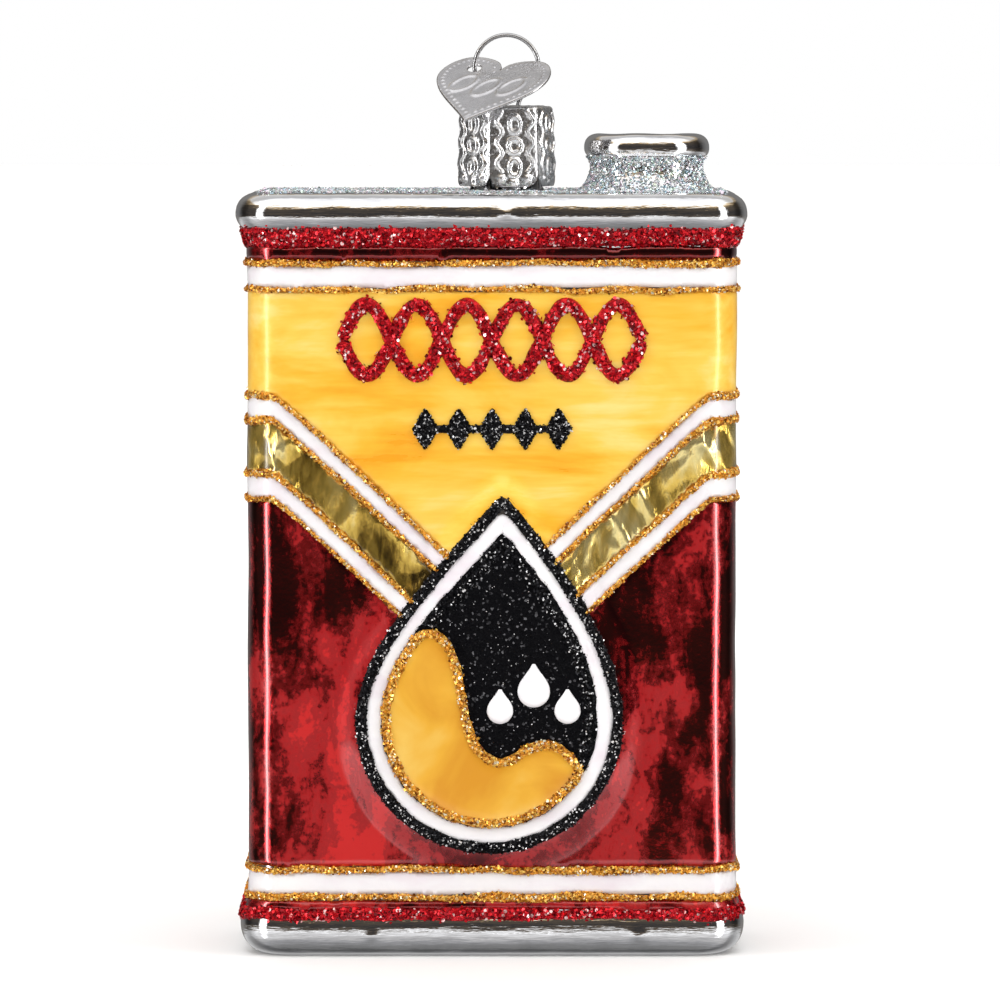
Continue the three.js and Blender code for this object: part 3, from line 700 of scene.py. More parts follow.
def silvered_glass():
    look = Look("silvered_glass", Metallic=1.0, Roughness=0.045, Coat_Weight=0.6, Coat_Roughness=0.02)
    place = look.place()
    cloud = look.noise(place, 260.0, 4.0)
    look.set(Base_Color=look.ramp(cloud, [(0.3, (0.78, 0.78, 0.79)), (0.6, (0.93, 0.93, 0.94))]))
    look.set(Roughness=look.spread(cloud, 0.3, 0.7, 0.07, 0.025))
    streaks = look.noise(look.place((0.12, 0.12, 1.0)), 1100.0, 4.0, 0.6)
    look.set(Normal=look.bump(streaks, 0.00009, 1.0, look.bump(look.noise(place, 420.0, 2.0), 0.00006)))
    return look.material


def red_lacquer():
    look = Look("red_lacquer", Coat_Weight=1.0, Coat_Roughness=0.03, Coat_IOR=1.6)
    blots = look.noise(look.place((1.0, 1.0, 0.7)), 100.0, 3.0, 0.5, 0.5)
    smear = look.noise(look.place((1.0, 1.0, 0.4), (0, 0.25, 0)), 330.0, 5.0, 0.6, 0.5)
    grain = look.noise(look.place(), 1500.0, 3.0, 0.6)
    across, _, height = look.node("ShaderNodeSeparateXYZ", Vector=look.place()).outputs
    # Painted light: the lacquer is made paler towards the bottom and towards the left, where more light
    # falls on it. The same shift also moves its metallic and roughness.
    painted_light_low = look.spread(height, 0.012, 0.082, 0.016, -0.06)
    painted_light_left = look.spread(across, -0.018, 0.012, 0.008, -0.03)
    blotches = look.blend(0.16, look.blend(0.42, blots, smear), grain)
    mixed = look.math("ADD", look.math("ADD", blotches, painted_light_low), painted_light_left)
    look.set(Base_Color=look.ramp(mixed, [
        (0.41, (0.20, 0.002, 0.004)),
        (0.47, (0.34, 0.004, 0.007)),
        (0.505, (0.24, 0.003, 0.006)),
        (0.53, (0.46, 0.006, 0.009)),
        (0.57, (0.36, 0.004, 0.007)),
        (0.60, (0.62, 0.010, 0.011)),
    ]))
    look.set(Metallic=look.spread(mixed, 0.455, 0.545, 1.0, 0.2))
    look.set(Roughness=look.spread(mixed, 0.43, 0.56, 0.07, 0.42))
    look.set(Normal=look.bump(mixed, 0.0003, 0.7))
    return look.material


def yellow_enamel():
    look = Look("yellow_enamel", Metallic=0.1, Roughness=0.3, Coat_Weight=0.5, Coat_Roughness=0.12)
    brushed = look.place((0.35, 1.0, 1.0))
    cloud = look.noise(brushed, 120.0, 5.0, 0.55, 0.8)
    streak = look.noise(look.place((0.12, 1.0, 1.0)), 700.0, 3.0)
    mixed = look.blend(0.3, cloud, streak)
    look.set(Base_Color=look.ramp(mixed, [
        (0.36, (0.93, 0.38, 0.015)),
        (0.45, (0.96, 0.50, 0.035)),
        (0.56, (0.98, 0.62, 0.09)),
        (0.68, (1.0, 0.75, 0.25)),
    ]))
    look.set(Roughness=look.spread(mixed, 0.35, 0.65, 0.26, 0.42))
    look.set(Normal=look.bump(streak, 0.00006))
    return look.material


def white_enamel():
    look = Look("white_enamel", Roughness=0.32, Coat_Weight=0.5, Coat_Roughness=0.1)
    cloud = look.noise(look.place((0.4, 1.0, 1.0)), 240.0, 4.0)
    look.set(Base_Color=look.ramp(cloud, [
        (0.3, (0.80, 0.73, 0.79)),
        (0.5, (0.86, 0.85, 0.88)),
        (0.7, (0.91, 0.90, 0.91)),
    ]))
    look.set(Normal=look.bump(look.noise(look.place(), 900.0, 3.0), 0.00005))
    return look.material


def gold_lacquer():
    look = Look("gold_lacquer", Metallic=0.8, Coat_Weight=1.0, Coat_Roughness=0.02)
    folds = look.noise(look.place((1.0, 1.0, 0.6), (0, 0.8, 0)), 105.0, 2.0, 0.4, 1.3)
    scuffs_and_sheen = look.noise(look.place((1.0, 1.0, 0.3), (0, 0.8, 0)), 900.0, 4.0, 0.6, 0.4)
    # Painted reflection: the colour runs from near black to pale gold over the same folds that bend the
    # surface, with brighter streaks along the band. It stands for the dark and bright zones and the
    # highlights that a gold mirror shows.
    look.set(Base_Color=look.ramp(look.blend(0.3, folds, scuffs_and_sheen), [
        (0.37, (0.08, 0.05, 0.007)),
        (0.43, (0.44, 0.28, 0.045)),
        (0.50, (0.84, 0.58, 0.12)),
        (0.60, (1.0, 0.84, 0.38)),
    ]))
    look.set(Roughness=look.spread(scuffs_and_sheen, 0.3, 0.7, 0.1, 0.24))
    small = look.bump(scuffs_and_sheen, 0.00012)
    look.set(Normal=look.bump(folds, 0.0042, 1.0, small))
    return look.material


def black_field():
    look = Look("black_enamel", Roughness=0.5, Specular_IOR_Level=0.04)
    grains = look.cells(look.place(), 4200.0)
    spark = look.node("ShaderNodeSeparateColor", Color=grains.outputs["Color"]).outputs["Red"]
    look.set(Base_Color=look.ramp(spark, [
        (0.0, (0.002, 0.002, 0.003)),
        (0.93, (0.004, 0.004, 0.005)),
        (0.995, (0.12, 0.12, 0.13)),
    ]))
    look.set(Normal=look.bump(grains.outputs["Distance"], 0.00012))
    return look.material


def glitter(name, dark, middle, bright, sparkle, metallic=0.6, gloss=0.5):
    """Two materials: the glue bed full of small grains, and the loose flakes on it."""
    bed = Look(f"{name}_bed", Metallic=metallic, Roughness=0.38, Specular_IOR_Level=gloss)
    grains = bed.cells(bed.place(), 3300.0)
    parts = bed.node("ShaderNodeSeparateColor", Color=grains.outputs["Color"])
    # Painted light, in part: each grain's tone runs from dark to bright. Dark grains stand for grains in
    # shade, and bright grains stand for grains that catch the light.
    bed.set(Base_Color=bed.ramp(parts.outputs["Red"], [(0.0, dark), (0.6, middle), (1.0, bright)]))
    bed.set(Normal=bed.bump(grains.outputs["Distance"], 0.00025))
    flakes = Look(f"{name}_flakes", Metallic=metallic, Roughness=0.2, Specular_IOR_Level=gloss)
    # Painted light, in part: the flakes' tints run from dark, for flakes in shade, up to bright and then
    # to the sparkle colour, which is a painted glint.
    flakes.set(Base_Color=flakes.ramp(flakes.tint(), [
        (0.12, dark), (0.32, middle), (0.62, middle), (0.72, bright), (0.9, bright), (0.94, sparkle),
    ]))
    return [bed.material, flakes.material]


def iridescent_glitter():
    flakes = Look("silver_glitter_flakes", Metallic=0.8, Roughness=0.16)
    flakes.set(Base_Color=flakes.ramp(flakes.tint(), [
        (0.0, (0.9, 0.92, 0.95)), (0.3, (0.6, 0.8, 0.92)), (0.5, (0.95, 0.93, 0.9)),
        (0.68, (0.88, 0.7, 0.85)), (0.84, (0.7, 0.9, 0.78)), (1.0, (1.0, 1.0, 1.0)),
    ]))
    return flakes.material


def stamped_metal(name, bright, grain_scale):
    look = Look(name, Metallic=0.95)
    cloud = look.noise(look.place(), 500.0, 4.0)
    dark = tuple(0.72 * channel for channel in bright)
    look.set(Base_Color=look.ramp(cloud, [(0.3, dark), (0.65, bright)]))
    look.set(Roughness=look.spread(cloud, 0.3, 0.7, 0.34, 0.2))
    look.set(Normal=look.bump(look.noise(look.place(), grain_scale, 3.0), 0.00004))
    return look.material


SILVER = silvered_glass()
RED = red_lacquer()
YELLOW = yellow_enamel()
WHITE = white_enamel()
GOLD = gold_lacquer()
BLACK = black_field()
# The last colour given to each glitter is its painted glint.
GOLD_GLITTER = glitter("gold_glitter", (0.22, 0.06, 0.005), (0.85, 0.36, 0.03),
                       (1.0, 0.64, 0.14), (1.0, 0.95, 0.72), metallic=0.5)
RED_GLITTER = glitter("red_glitter", (0.12, 0.001, 0.004), (0.52, 0.004, 0.014),
                      (0.85, 0.015, 0.025), (1.0, 0.66, 0.66))
BLACK_GLITTER = glitter("black_glitter", (0.002, 0.002, 0.003), (0.006, 0.006, 0.007),
                        (0.022, 0.022, 0.026), (0.85, 0.85, 0.87), metallic=0.3, gloss=0.12)
SILVER_GLITTER = iridescent_glitter()
CAP_METAL = stamped_metal("stamped_tin", (0.82, 0.82, 0.83), 2600.0)
TAG_METAL = stamped_metal("tag_foil", (0.70, 0.69, 0.70), 1800.0)
WIRE_METAL = stamped_metal("spring_wire", (0.62, 0.62, 0.63), 1500.0)


# ---- the glass -------------------------------------------------------------------------

def lathe(profile, x, around=96):
    """Points of a turned surface, a row for each profile point of radius and height."""
    angles = np.arange(around) * 2 * math.pi / around
    radius, z = profile[:, 0][:, None], profile[:, 1][:, None]
    return np.stack([x + radius * np.cos(angles), radius * np.sin(angles), z + 0 * angles], -1)


SPOUT_BOX = cad_box("silver_glitter_spout")
SPOUT_X = (SPOUT_BOX[0][0] + SPOUT_BOX[1][0]) / 2
SPOUT_TOP = 92.7
LIP, WAIST, FOOT = 7.15, 6.25, 8.3
WAIST_Z, LIP_Z = 88.9, 91.1


def spout_side(grow):
    """The false spout's side: a foot that flares on to the deck, a waist and the lip's belly."""
    return chain(
        bezier([(FOOT + 0.5 + grow, DECK_Z - 0.4), (FOOT + grow, DECK_Z - 0.1),
                (FOOT - 0.3 + grow, DECK_Z), (FOOT - 0.6 + grow, DECK_Z + 0.12)], 8),
        bezier([(FOOT - 0.6 + grow, DECK_Z + 0.12), (WAIST + 0.7 + grow, DECK_Z + 0.5),
                (WAIST + 0.15 + grow, WAIST_Z - 1.1), (WAIST + grow, WAIST_Z)], 22),
        bezier([(WAIST + grow, WAIST_Z), (WAIST - 0.05 + grow, WAIST_Z + 1.3),
                (LIP + grow, WAIST_Z + 1.0), (LIP + grow, LIP_Z)], 22),
    )


def spout_profile():
    return chain(
        spout_side(0),
        bezier([(LIP, LIP_Z), (LIP, SPOUT_TOP - 0.4),
                (LIP - 0.8, SPOUT_TOP), (LIP - 1.8, SPOUT_TOP)], 22),
        bezier([(LIP - 1.8, SPOUT_TOP), (LIP - 2.8, SPOUT_TOP),
                (2.5, SPOUT_TOP - 0.8), (0.001, SPOUT_TOP - 0.8)], 18),
    )


NECK_RADIUS, NECK_BORE, NECK_FILLET, NECK_DEPTH = 4.1, 3.35, 0.8, 12.0


def neck_profile():
    """The neck's section: fillet, outside, rounded lip, bore."""
    top = GLASS_HIGH[2]
    return chain(
        bezier([(NECK_RADIUS + NECK_FILLET, DECK_Z), (NECK_RADIUS + 0.2, DECK_Z),
                (NECK_RADIUS, DECK_Z + 0.2), (NECK_RADIUS, DECK_Z + NECK_FILLET)], 10),
        np.array([(NECK_RADIUS, DECK_Z + NECK_FILLET), (NECK_RADIUS, top - 0.3)]),
        bezier([(NECK_RADIUS, top - 0.3), (NECK_RADIUS, top),
                (NECK_BORE, top), (NECK_BORE, top - 0.3)], 10),
        np.array([(NECK_BORE, top - 0.3), (NECK_BORE, DECK_Z), (NECK_BORE, DECK_Z - NECK_DEPTH)]),
    )


def glass_can():
    """The whole glass: can, false spout and the neck under the cap."""
    build = Build()
    s = np.linspace(*WHOLE, 321)[:-1]
    shape = (len(PROFILE), len(s))
    rows = [column[:, None] + np.zeros(shape) for column in
            (PROFILE[:, 0], PROFILE[:, 1], PROFILE_OUT, PROFILE_UP)]
    under_coats = smooth(5.0, 5.8, rows[1]) * smooth(82.6, 81.8, rows[1])
    skin = can_points(s[None, :] + np.zeros(shape), *rows, -0.12 * under_coats)
    build.add(skin, [grid_faces(*shape, True), fan(np.arange(len(s)), True)])
    neck = lathe(neck_profile(), CAP_X)
    around = neck.shape[1]
    lowest = (len(neck) - 1) * around + np.arange(around)
    build.add(neck, [grid_faces(*neck.shape[:2], True), fan(lowest)])
    deck = [skin[-1][:, :2], neck[0][:, :2]]
    flat, faces = fill(deck, 1.2, np.random.default_rng(21))
    build.add(np.column_stack([flat, np.full(len(flat), DECK_Z)]), [faces])
    spout = lathe(spout_profile(), SPOUT_X)
    spout[..., 2] += 0.03 * FINE_RIPPLE(spout[..., 0], spout[..., 1], spout[..., 2])
    build.add(spout, [grid_faces(*spout.shape[:2], True), fan(np.arange(spout.shape[1]), True)])
    weld(build.make("glass_body", "can", [SILVER], name="glass_can"))


def weld(piece):
    """Joins points that share a place, so that a surface is one."""
    mesh = bmesh.new()
    mesh.from_mesh(piece.data)
    bmesh.ops.remove_doubles(mesh, verts=mesh.verts, dist=1e-7)
    mesh.to_mesh(piece.data)
    mesh.free()


glass_can()


# ---- straight and bent bands -----------------------------------------------------------

def straight_bands():
    lacquer, enamel = (RED, "red_lacquer"), (WHITE, "white_enamel")
    coats = {"red_lacquer_top": lacquer, "white_band_top": enamel,
             "white_band_bottom": enamel, "red_lacquer_bottom": lacquer}
    for index, (node, (look, slot)) in enumerate(coats.items()):
        low, high = (corner[2] for corner in cad_box(node))
        build = Build()
        coat(build, WHOLE, level(low - LAP), level(high + LAP), COAT - 0.08, seed=5 * index)
        build.make(node, "coat", [look])
    red = (RED_GLITTER, "red_glitter", 0.19, BEAD * 0.7)
    gold = (GOLD_GLITTER, "gold_glitter", 0.145, BEAD)
    beads = {"red_glitter_top": red, "red_glitter_bottom": red,
             "gold_line_top_upper": gold, "gold_line_top_lower": gold,
             "gold_line_bottom_upper": gold, "gold_line_bottom_lower": gold}
    for index, (node, (looks, slot, flake, thick)) in enumerate(beads.items()):
        low, high = (corner[2] for corner in cad_box(node))
        rng = np.random.default_rng(100 + index)
        build = Build()
        bead(build, rng, WHOLE, level(low + 0.1), level(high - 0.1), thick, flake, seed=7 * index)
        build.make(node, "bead", looks)


def bent_bands():
    for side, span in SIDES.items():
        for index, name in enumerate(BENDS):
            node = f"{name}_{side}"
            low, high = BEND_TOPS[index + 1], BEND_TOPS[index]
            build = Build()
            if name.startswith("gold_line"):
                rng = np.random.default_rng(200 + index + (50 if side == "left" else 0))
                bead(build, rng, span, bent(low + 0.17), bent(high - 0.17), BEAD, 0.14, seed=3 * index)
                build.make(node, "bead", GOLD_GLITTER)
            else:
                look, slot = WHITE, "white_enamel"
                if name == "gold_bend":
                    look, slot = GOLD, "gold_lacquer"
                coat(build, span, bent(low - 0.5), bent(high + 0.5), COAT - 0.08, seed=4 * index)
                build.make(node, "coat", [look])


def panels():
    yellow_top = cad_box("yellow_panel")[1][2]
    build = Build()
    coat(build, WHOLE, bent(BEND_TOPS[0] - 0.55), level(yellow_top + LAP), COAT - 0.08, 0.5, seed=31)
    build.make("yellow_panel", "coat", [YELLOW])
    red_low = cad_box("red_lacquer_panel")[0][2]
    build = Build()
    coat(build, WHOLE, level(red_low - LAP), bent(BEND_TOPS[-1] + 0.55), COAT - 0.09, 0.5, seed=33)
    build.make("red_lacquer_panel", "coat", [RED])


straight_bands()
bent_bands()
panels()


# ---- pieces on the faces ---------------------------------------------------------------

def patch(build, outline, spacing, rng, base, height, edge):
    """A pillow of enamel over an outline on the can."""
    flat, faces = fill([outline], spacing, rng)
    top = on_can(flat, base + height * rounded(distance_to(flat, outline), edge))
    shell(build, faces, top, on_can(flat, np.full(len(flat), base - 0.25)))
    return flat


def ribbon(build, line, width, base, height, closed=True, rows=7, ragged=0.0):
    """A raised line along a path on the can. Returns a way to sample its top, and its area."""
    before = np.roll(line, 1, 0)
    after = np.roll(line, -1, 0)
    if not closed:
        before[0], after[-1] = line[0], line[-1]
    along = after - before
    along /= np.linalg.norm(along, axis=1)[:, None]
    normal = np.stack([-along[:, 1], along[:, 0]], 1)
    half = width / 2 + ragged * EDGE_WOBBLE(line[:, 0] * 3, 0, line[:, 1] * 3)
    end = np.ones(len(line))
    if not closed:
        step = np.linalg.norm(line[1] - line[0])
        from_end = np.minimum(np.arange(len(line)), np.arange(len(line))[::-1]) * step
        end = np.maximum(0.15, rounded(from_end, width / 2))
    v = np.linspace(-1, 1, rows)[:, None]
    flat = line[None] + normal[None] * (v * half * end)[..., None]
    lift = base + height * rounded(1 - np.abs(v), 1.0) * end[None, :]
    lift = lift * (1 + 0.06 * BEAD_LUMPS(flat[..., 0], 0, flat[..., 1]))
    top, _ = at_height(flat[..., 0], flat[..., 1], lift)
    edges = flat[[0, -1]]
    under, _ = at_height(edges[..., 0], edges[..., 1], base - 0.25)
    points, faces = sheet(top, under, closed)
    build.add(points, faces)

    def sample(rng, count):
        at = rng.integers(0, len(line) - (0 if closed else 1), count)
        share = np.clip(rng.normal(0, 0.5, count), -1.15, 1.15)
        part = rng.uniform(0, 1, count)[:, None]
        centre = line[at] * (1 - part) + line[(at + 1) % len(line)] * part
        place = centre + normal[at] * (share * half[at] * end[at])[:, None]
        rise = base + height * rounded(1 - np.abs(share), 1.0) * end[at]
        centres, normals = at_height(place[:, 0], place[:, 1], rise)
        x, y, nx, ny = wall_at(place[:, 0])
        tilt = normal[at] * (share * 0.75)[:, None]
        normals[:, 0] -= ny * tilt[:, 0]
        normals[:, 1] += nx * tilt[:, 0]
        normals[:, 2] += tilt[:, 1]
        return centres, normals / np.linalg.norm(normals, axis=1)[:, None]

    length = float(np.linalg.norm(np.diff(line, axis=0), axis=1).sum())
    return sample, length * width


def glitter_ribbon(build, rng, line, width, base, height, flake, density, closed=True):
    sample, area = ribbon(build, line, width, base, height, closed, ragged=0.05)
    count = int(area * density / (HEXAGON_AREA * flake * flake))
    centres, normals = sample(rng, count)
    add_chips(build, rng, centres, normals, flake)


# ---- the drop --------------------------------------------------------------------------

OUTLINE_WIDTH, WHITE_WIDTH, GOLD_WIDTH, FIELD_RIM = 1.2, 1.75, 1.1, 1.7
FIELD_INSET = OUTLINE_WIDTH + WHITE_WIDTH


def oil_surface():
    """The top of the oil in the drop, from right to left, with two crests."""
    return chain(
        bezier([(15.0, 19.4), (14.4, 19.4), (13.6, 19.4), (13.0, 19.4)], 4),
        bezier([(13.0, 19.4), (9.8, 20.8), (9.0, 25.0), (5.6, 24.7)], 16),
        bezier([(5.6, 24.7), (2.8, 24.4), (2.2, 21.4), (-0.4, 23.0)], 16),
        bezier([(-0.4, 23.0), (-4.0, 25.4), (-2.0, 36.2), (-6.6, 37.2)], 22),
        bezier([(-6.6, 37.2), (-9.0, 37.6), (-11.0, 35.6), (-13.5, 34.8)], 12),
    )


def oil_outline():
    """The oil's whole edge: its surface, then round the belly of the drop."""
    field = drop_outline(FIELD_INSET + 0.05)
    surface = oil_surface()
    surface = surface[inside(surface, field)]
    belly = field[field[:, 1] < surface[-1][1]]
    left_of_apex = belly[(belly[:, 0] < 0) | (belly[:, 1] < surface[0][1])]
    start = np.argmin(np.linalg.norm(left_of_apex - surface[-1], axis=1))
    end = np.argmin(np.linalg.norm(left_of_apex - surface[0], axis=1))
    return np.concatenate([surface, left_of_apex[start:end + 1]])


DROPLETS = ["droplet_1", "droplet_2", "droplet_3"]


def droplet_outline(node):
    """A small drop with a point on top, in the place and size of its CAD node."""
    low, high = cad_box(node)
    x, radius = (low[0] + high[0]) / 2, (high[0] - low[0]) / 2
    z, tip = low[2] + radius, high[2]
    angles = np.linspace(math.pi, 2 * math.pi, 18)
    return chain(
        bezier([(x, tip), (x - 0.3 * radius, z + 1.1 * radius),
                (x - radius, z + 0.7 * radius), (x - radius, z)], 10),
        np.stack([x + radius * np.cos(angles), z + radius * np.sin(angles)], 1),
        bezier([(x + radius, z), (x + radius, z + 0.7 * radius),
                (x + 0.3 * radius, z + 1.1 * radius), (x, tip)], 10),
    )[:-1]


def drop_emblem(side, face):
    rng = np.random.default_rng(300 if side == FRONT else 301)
    build = Build()
    line = resample(onto(drop_outline(OUTLINE_WIDTH / 2), side), 0.35, True)
    line = resample(soften(line, 3), 0.35, True)
    glitter_ribbon(build, rng, line, OUTLINE_WIDTH + 0.15, 0.02, BEAD, 0.125, 1.9)
    build.make(f"drop_outline_{face}", "bead", BLACK_GLITTER)

    build = Build()
    line = resample(onto(drop_outline(OUTLINE_WIDTH + WHITE_WIDTH / 2), side), 0.35, True)
    ribbon(build, soften(line, 2), WHITE_WIDTH + 0.1, 0.0, 0.22, rows=9, ragged=0.08)
    build.make(f"drop_white_line_{face}", "coat", [WHITE])

    build = Build()
    field = resample(onto(drop_outline(FIELD_INSET - 0.25), side), 0.6, True)
    flat = patch(build, field, 0.8, rng, 0.0, 0.12, 0.3)
    rim = resample(onto(drop_outline(FIELD_INSET + FIELD_RIM / 2), side), 0.4, True)
    glitter_ribbon(build, rng, rim, FIELD_RIM, 0.06, 0.16, 0.13, 1.4)
    grains = flat[rng.integers(0, len(flat), 3200)] + rng.normal(scale=0.45, size=(3200, 2))
    grains = grains[in_a_drop(grains, FIELD_INSET)]
    centres, normals = at_height(grains[:, 0], grains[:, 1], 0.11)
    add_chips(build, rng, centres, normals, 0.065, 0.35, 0.04)
    build.make(f"drop_black_field_{face}", "coat", [BLACK, BLACK_GLITTER[1]])

    build = Build()
    oil = resample(onto(oil_outline(), side), 0.5, True)
    patch(build, oil, 0.6, rng, 0.1, 0.5, 1.9)
    build.make(f"drop_oil_{face}", "coat", [OIL])

    build = Build()
    edge = soften(resample(oil, 0.35, True), 5)
    inward = edge + 0.5 * inward_normals(edge)
    glitter_ribbon(build, rng, inward, GOLD_WIDTH, 0.3, BEAD, 0.16, 1.8)
    build.make(f"drop_oil_edge_{face}", "bead", GOLD_GLITTER)

    for name in DROPLETS:
        build = Build()
        outline = resample(onto(droplet_outline(f"{name}_{face}"), side), 0.22, True)
        patch(build, outline, 0.3, rng, 0.1, 0.35, 0.7)
        build.make(f"{name}_{face}", "enamel", [WHITE])


def inward_normals(line):
    along = np.roll(line, -1, 0) - np.roll(line, 1, 0)
    along /= np.linalg.norm(along, axis=1)[:, None]
    normal = np.stack([-along[:, 1], along[:, 0]], 1)
    probe = inside(line + 0.05 * normal, line)
    return normal if probe.mean() > 0.5 else -normal


def oil_enamel():
    look = Look("oil_enamel", Metallic=0.2, Roughness=0.32, Coat_Weight=0.6, Coat_Roughness=0.15)
    cloud = look.noise(look.place(), 110.0, 4.0, 0.5, 0.6)
    look.set(Base_Color=look.ramp(cloud, [
        (0.35, (0.78, 0.34, 0.02)), (0.5, (0.90, 0.47, 0.04)), (0.66, (0.96, 0.61, 0.12)),
    ]))
    return look.material


OIL = oil_enamel()


# ---- motifs above the drop -------------------------------------------------------------

def motifs(side, face):
    rng = np.random.default_rng(400 if side == FRONT else 401)
    low, high = cad_box(f"red_motif_{face}")
    reach, middle, swing, turns = 16.9, (low[2] + high[2]) / 2, 4.0, 3
    build = Build()
    t = np.linspace(-1, 1, 400)
    for layer, sign in enumerate((1, -1)):
        wave = np.stack([t * reach, middle + sign * swing * np.sin(t * turns * math.pi)], 1)
        line = resample(onto(wave, side), 0.3, False)
        glitter_ribbon(build, rng, line, 1.55, 0.12 + 0.12 * layer, BEAD, 0.2, 1.6, closed=False)
    build.make(f"red_motif_{face}", "bead", RED_GLITTER)

    low, high = cad_box(f"black_motif_{face}")
    reach, middle = (high[0] - low[0]) / 2, (low[2] + high[2]) / 2
    half_width, half_height, count = 1.5, (high[2] - low[2]) / 2, 5
    build = Build()
    bar = resample(onto(np.array([(-reach, middle), (reach, middle)]), side), 0.3, False)
    glitter_ribbon(build, rng, bar, 0.9, 0.1, 0.3, 0.14, 1.5, closed=False)
    for index in range(count):
        x = (reach - half_width) * (2 * index / (count - 1) - 1)
        corners = np.array([(x - half_width, middle), (x, middle - half_height),
                            (x + half_width, middle), (x, middle + half_height)])
        outline = onto(soften(resample(corners, 0.3, True), 2), side)
        patch(build, outline, 0.35, rng, 0.08, BEAD, 0.6)
        spots = rng.uniform(outline.min(0), outline.max(0), (900, 2))
        spots = spots[inside(spots, outline)]
        rise = 0.08 + BEAD * rounded(distance_to(spots, outline), 0.6)
        centres, normals = at_height(spots[:, 0], spots[:, 1], rise)
        add_chips(build, rng, centres, normals, 0.14, 0.5, 0.08)
    build.make(f"black_motif_{face}", "bead", BLACK_GLITTER)


for SIDE, FACE in ((FRONT, "front"), (BACK, "back")):
    drop_emblem(SIDE, FACE)
    motifs(SIDE, FACE)


# ---- silver glitter on the deck and the spout ------------------------------------------

def deck_glitter():
    rng = np.random.default_rng(500)
    build = Build()
    spots = rng.uniform(-1, 1, (6500, 2)) * (HALF_WIDTH - 1.0, HALF_DEPTH - 1.0)
    clear = np.hypot(spots[:, 0] - SPOUT_X, spots[:, 1]) > FOOT - 0.4
    clear &= np.hypot(spots[:, 0] - CAP_X, spots[:, 1]) > 4.4
    spots = spots[clear]
    centres = np.column_stack([spots, np.full(len(spots), DECK_Z + 0.02)])
    normals = np.tile([0.0, 0.0, 1.0], (len(spots), 1))
    add_chips(build, rng, centres, normals, 0.17, 0.35, 0.12, look=0)
    build.make("silver_glitter_deck", "flakes", [SILVER_GLITTER])


def spout_glitter():
    rng = np.random.default_rng(501)
    build = Build()
    side = spout_side(0.06)
    side = side[(side[:, 1] > DECK_Z + 0.05) & (side[:, 1] < LIP_Z - 0.9)]
    outer = lathe(side, SPOUT_X)
    inner = lathe(side - (0.3, 0), SPOUT_X)
    points, faces = sheet(outer, inner, True)
    build.add(points, faces)
    count = 5600
    steps = np.linalg.norm(np.diff(side, axis=0), axis=1)
    along = np.concatenate([[0], np.cumsum(steps)])
    at = rng.uniform(0, along[-1], count)
    radius, z = np.interp(at, along, side[:, 0]), np.interp(at, along, side[:, 1])
    out = np.interp(at, along, np.gradient(side[:, 1], along))
    up = np.interp(at, along, -np.gradient(side[:, 0], along))
    angle = rng.uniform(0, 2 * math.pi, count)
    centres = np.stack([SPOUT_X + radius * np.cos(angle), radius * np.sin(angle), z], 1)
    normals = np.stack([out * np.cos(angle), out * np.sin(angle), up], 1)
    normals /= np.linalg.norm(normals, axis=1)[:, None]
    add_chips(build, rng, centres, normals, 0.15, 0.7, 0.09)
    build.make("silver_glitter_spout", "flakes", [SILVER, SILVER_GLITTER])


deck_glitter()
spout_glitter()


# ---- the cap ---------------------------------------------------------------------------

CAP_TURN = math.radians(10)
CAP_TOP_RADIUS, CAP_BOTTOM_RADIUS = 5.5, 5.83
CAP_WALL, CAP_EDGE = 0.35, 0.45
SLIT_TOP = 94.6


def ridge(gap, width):
    return np.exp(-(gap / width) ** 2)


def petal_stamp(u, z):
    """The stamped relief of one petal: two wavy lines, three rings and three dots."""
    height = np.zeros(np.broadcast(u, z).shape)
    for sign in (-1, 1):
        wave = sign * (1.75 + 0.3 * np.sin(2 * math.pi * z / 2.4))
        height = np.maximum(height, 0.24 * ridge(u - wave, 0.19) * smooth(87.9, 88.6, z))
    for centre, wide, tall in ((93.8, 0.62, 0.9), (91.35, 0.75, 0.8), (88.9, 0.62, 0.95)):
        ring = np.hypot(u / wide, (z - centre) / tall)
        height = np.maximum(height, 0.24 * ridge((ring - 1) * 0.7, 0.2))
    for centre_u, centre_z in ((-1.5, 87.75), (0, 87.3), (1.5, 87.75)):
        dot = np.hypot(u - centre_u, z - centre_z)
        height = np.maximum(height, 0.3 * ridge(dot, 0.4))
    return height


def cap_radius(z):
    """The corner radius of the six-sided cap at a height: it widens a little downwards."""
    share = np.clip((z - CAP_LOW[2]) / (CAP_HIGH[2] - CAP_EDGE - CAP_LOW[2]), 0, 1)
    return CAP_BOTTOM_RADIUS + (CAP_TOP_RADIUS - CAP_BOTTOM_RADIUS) * share


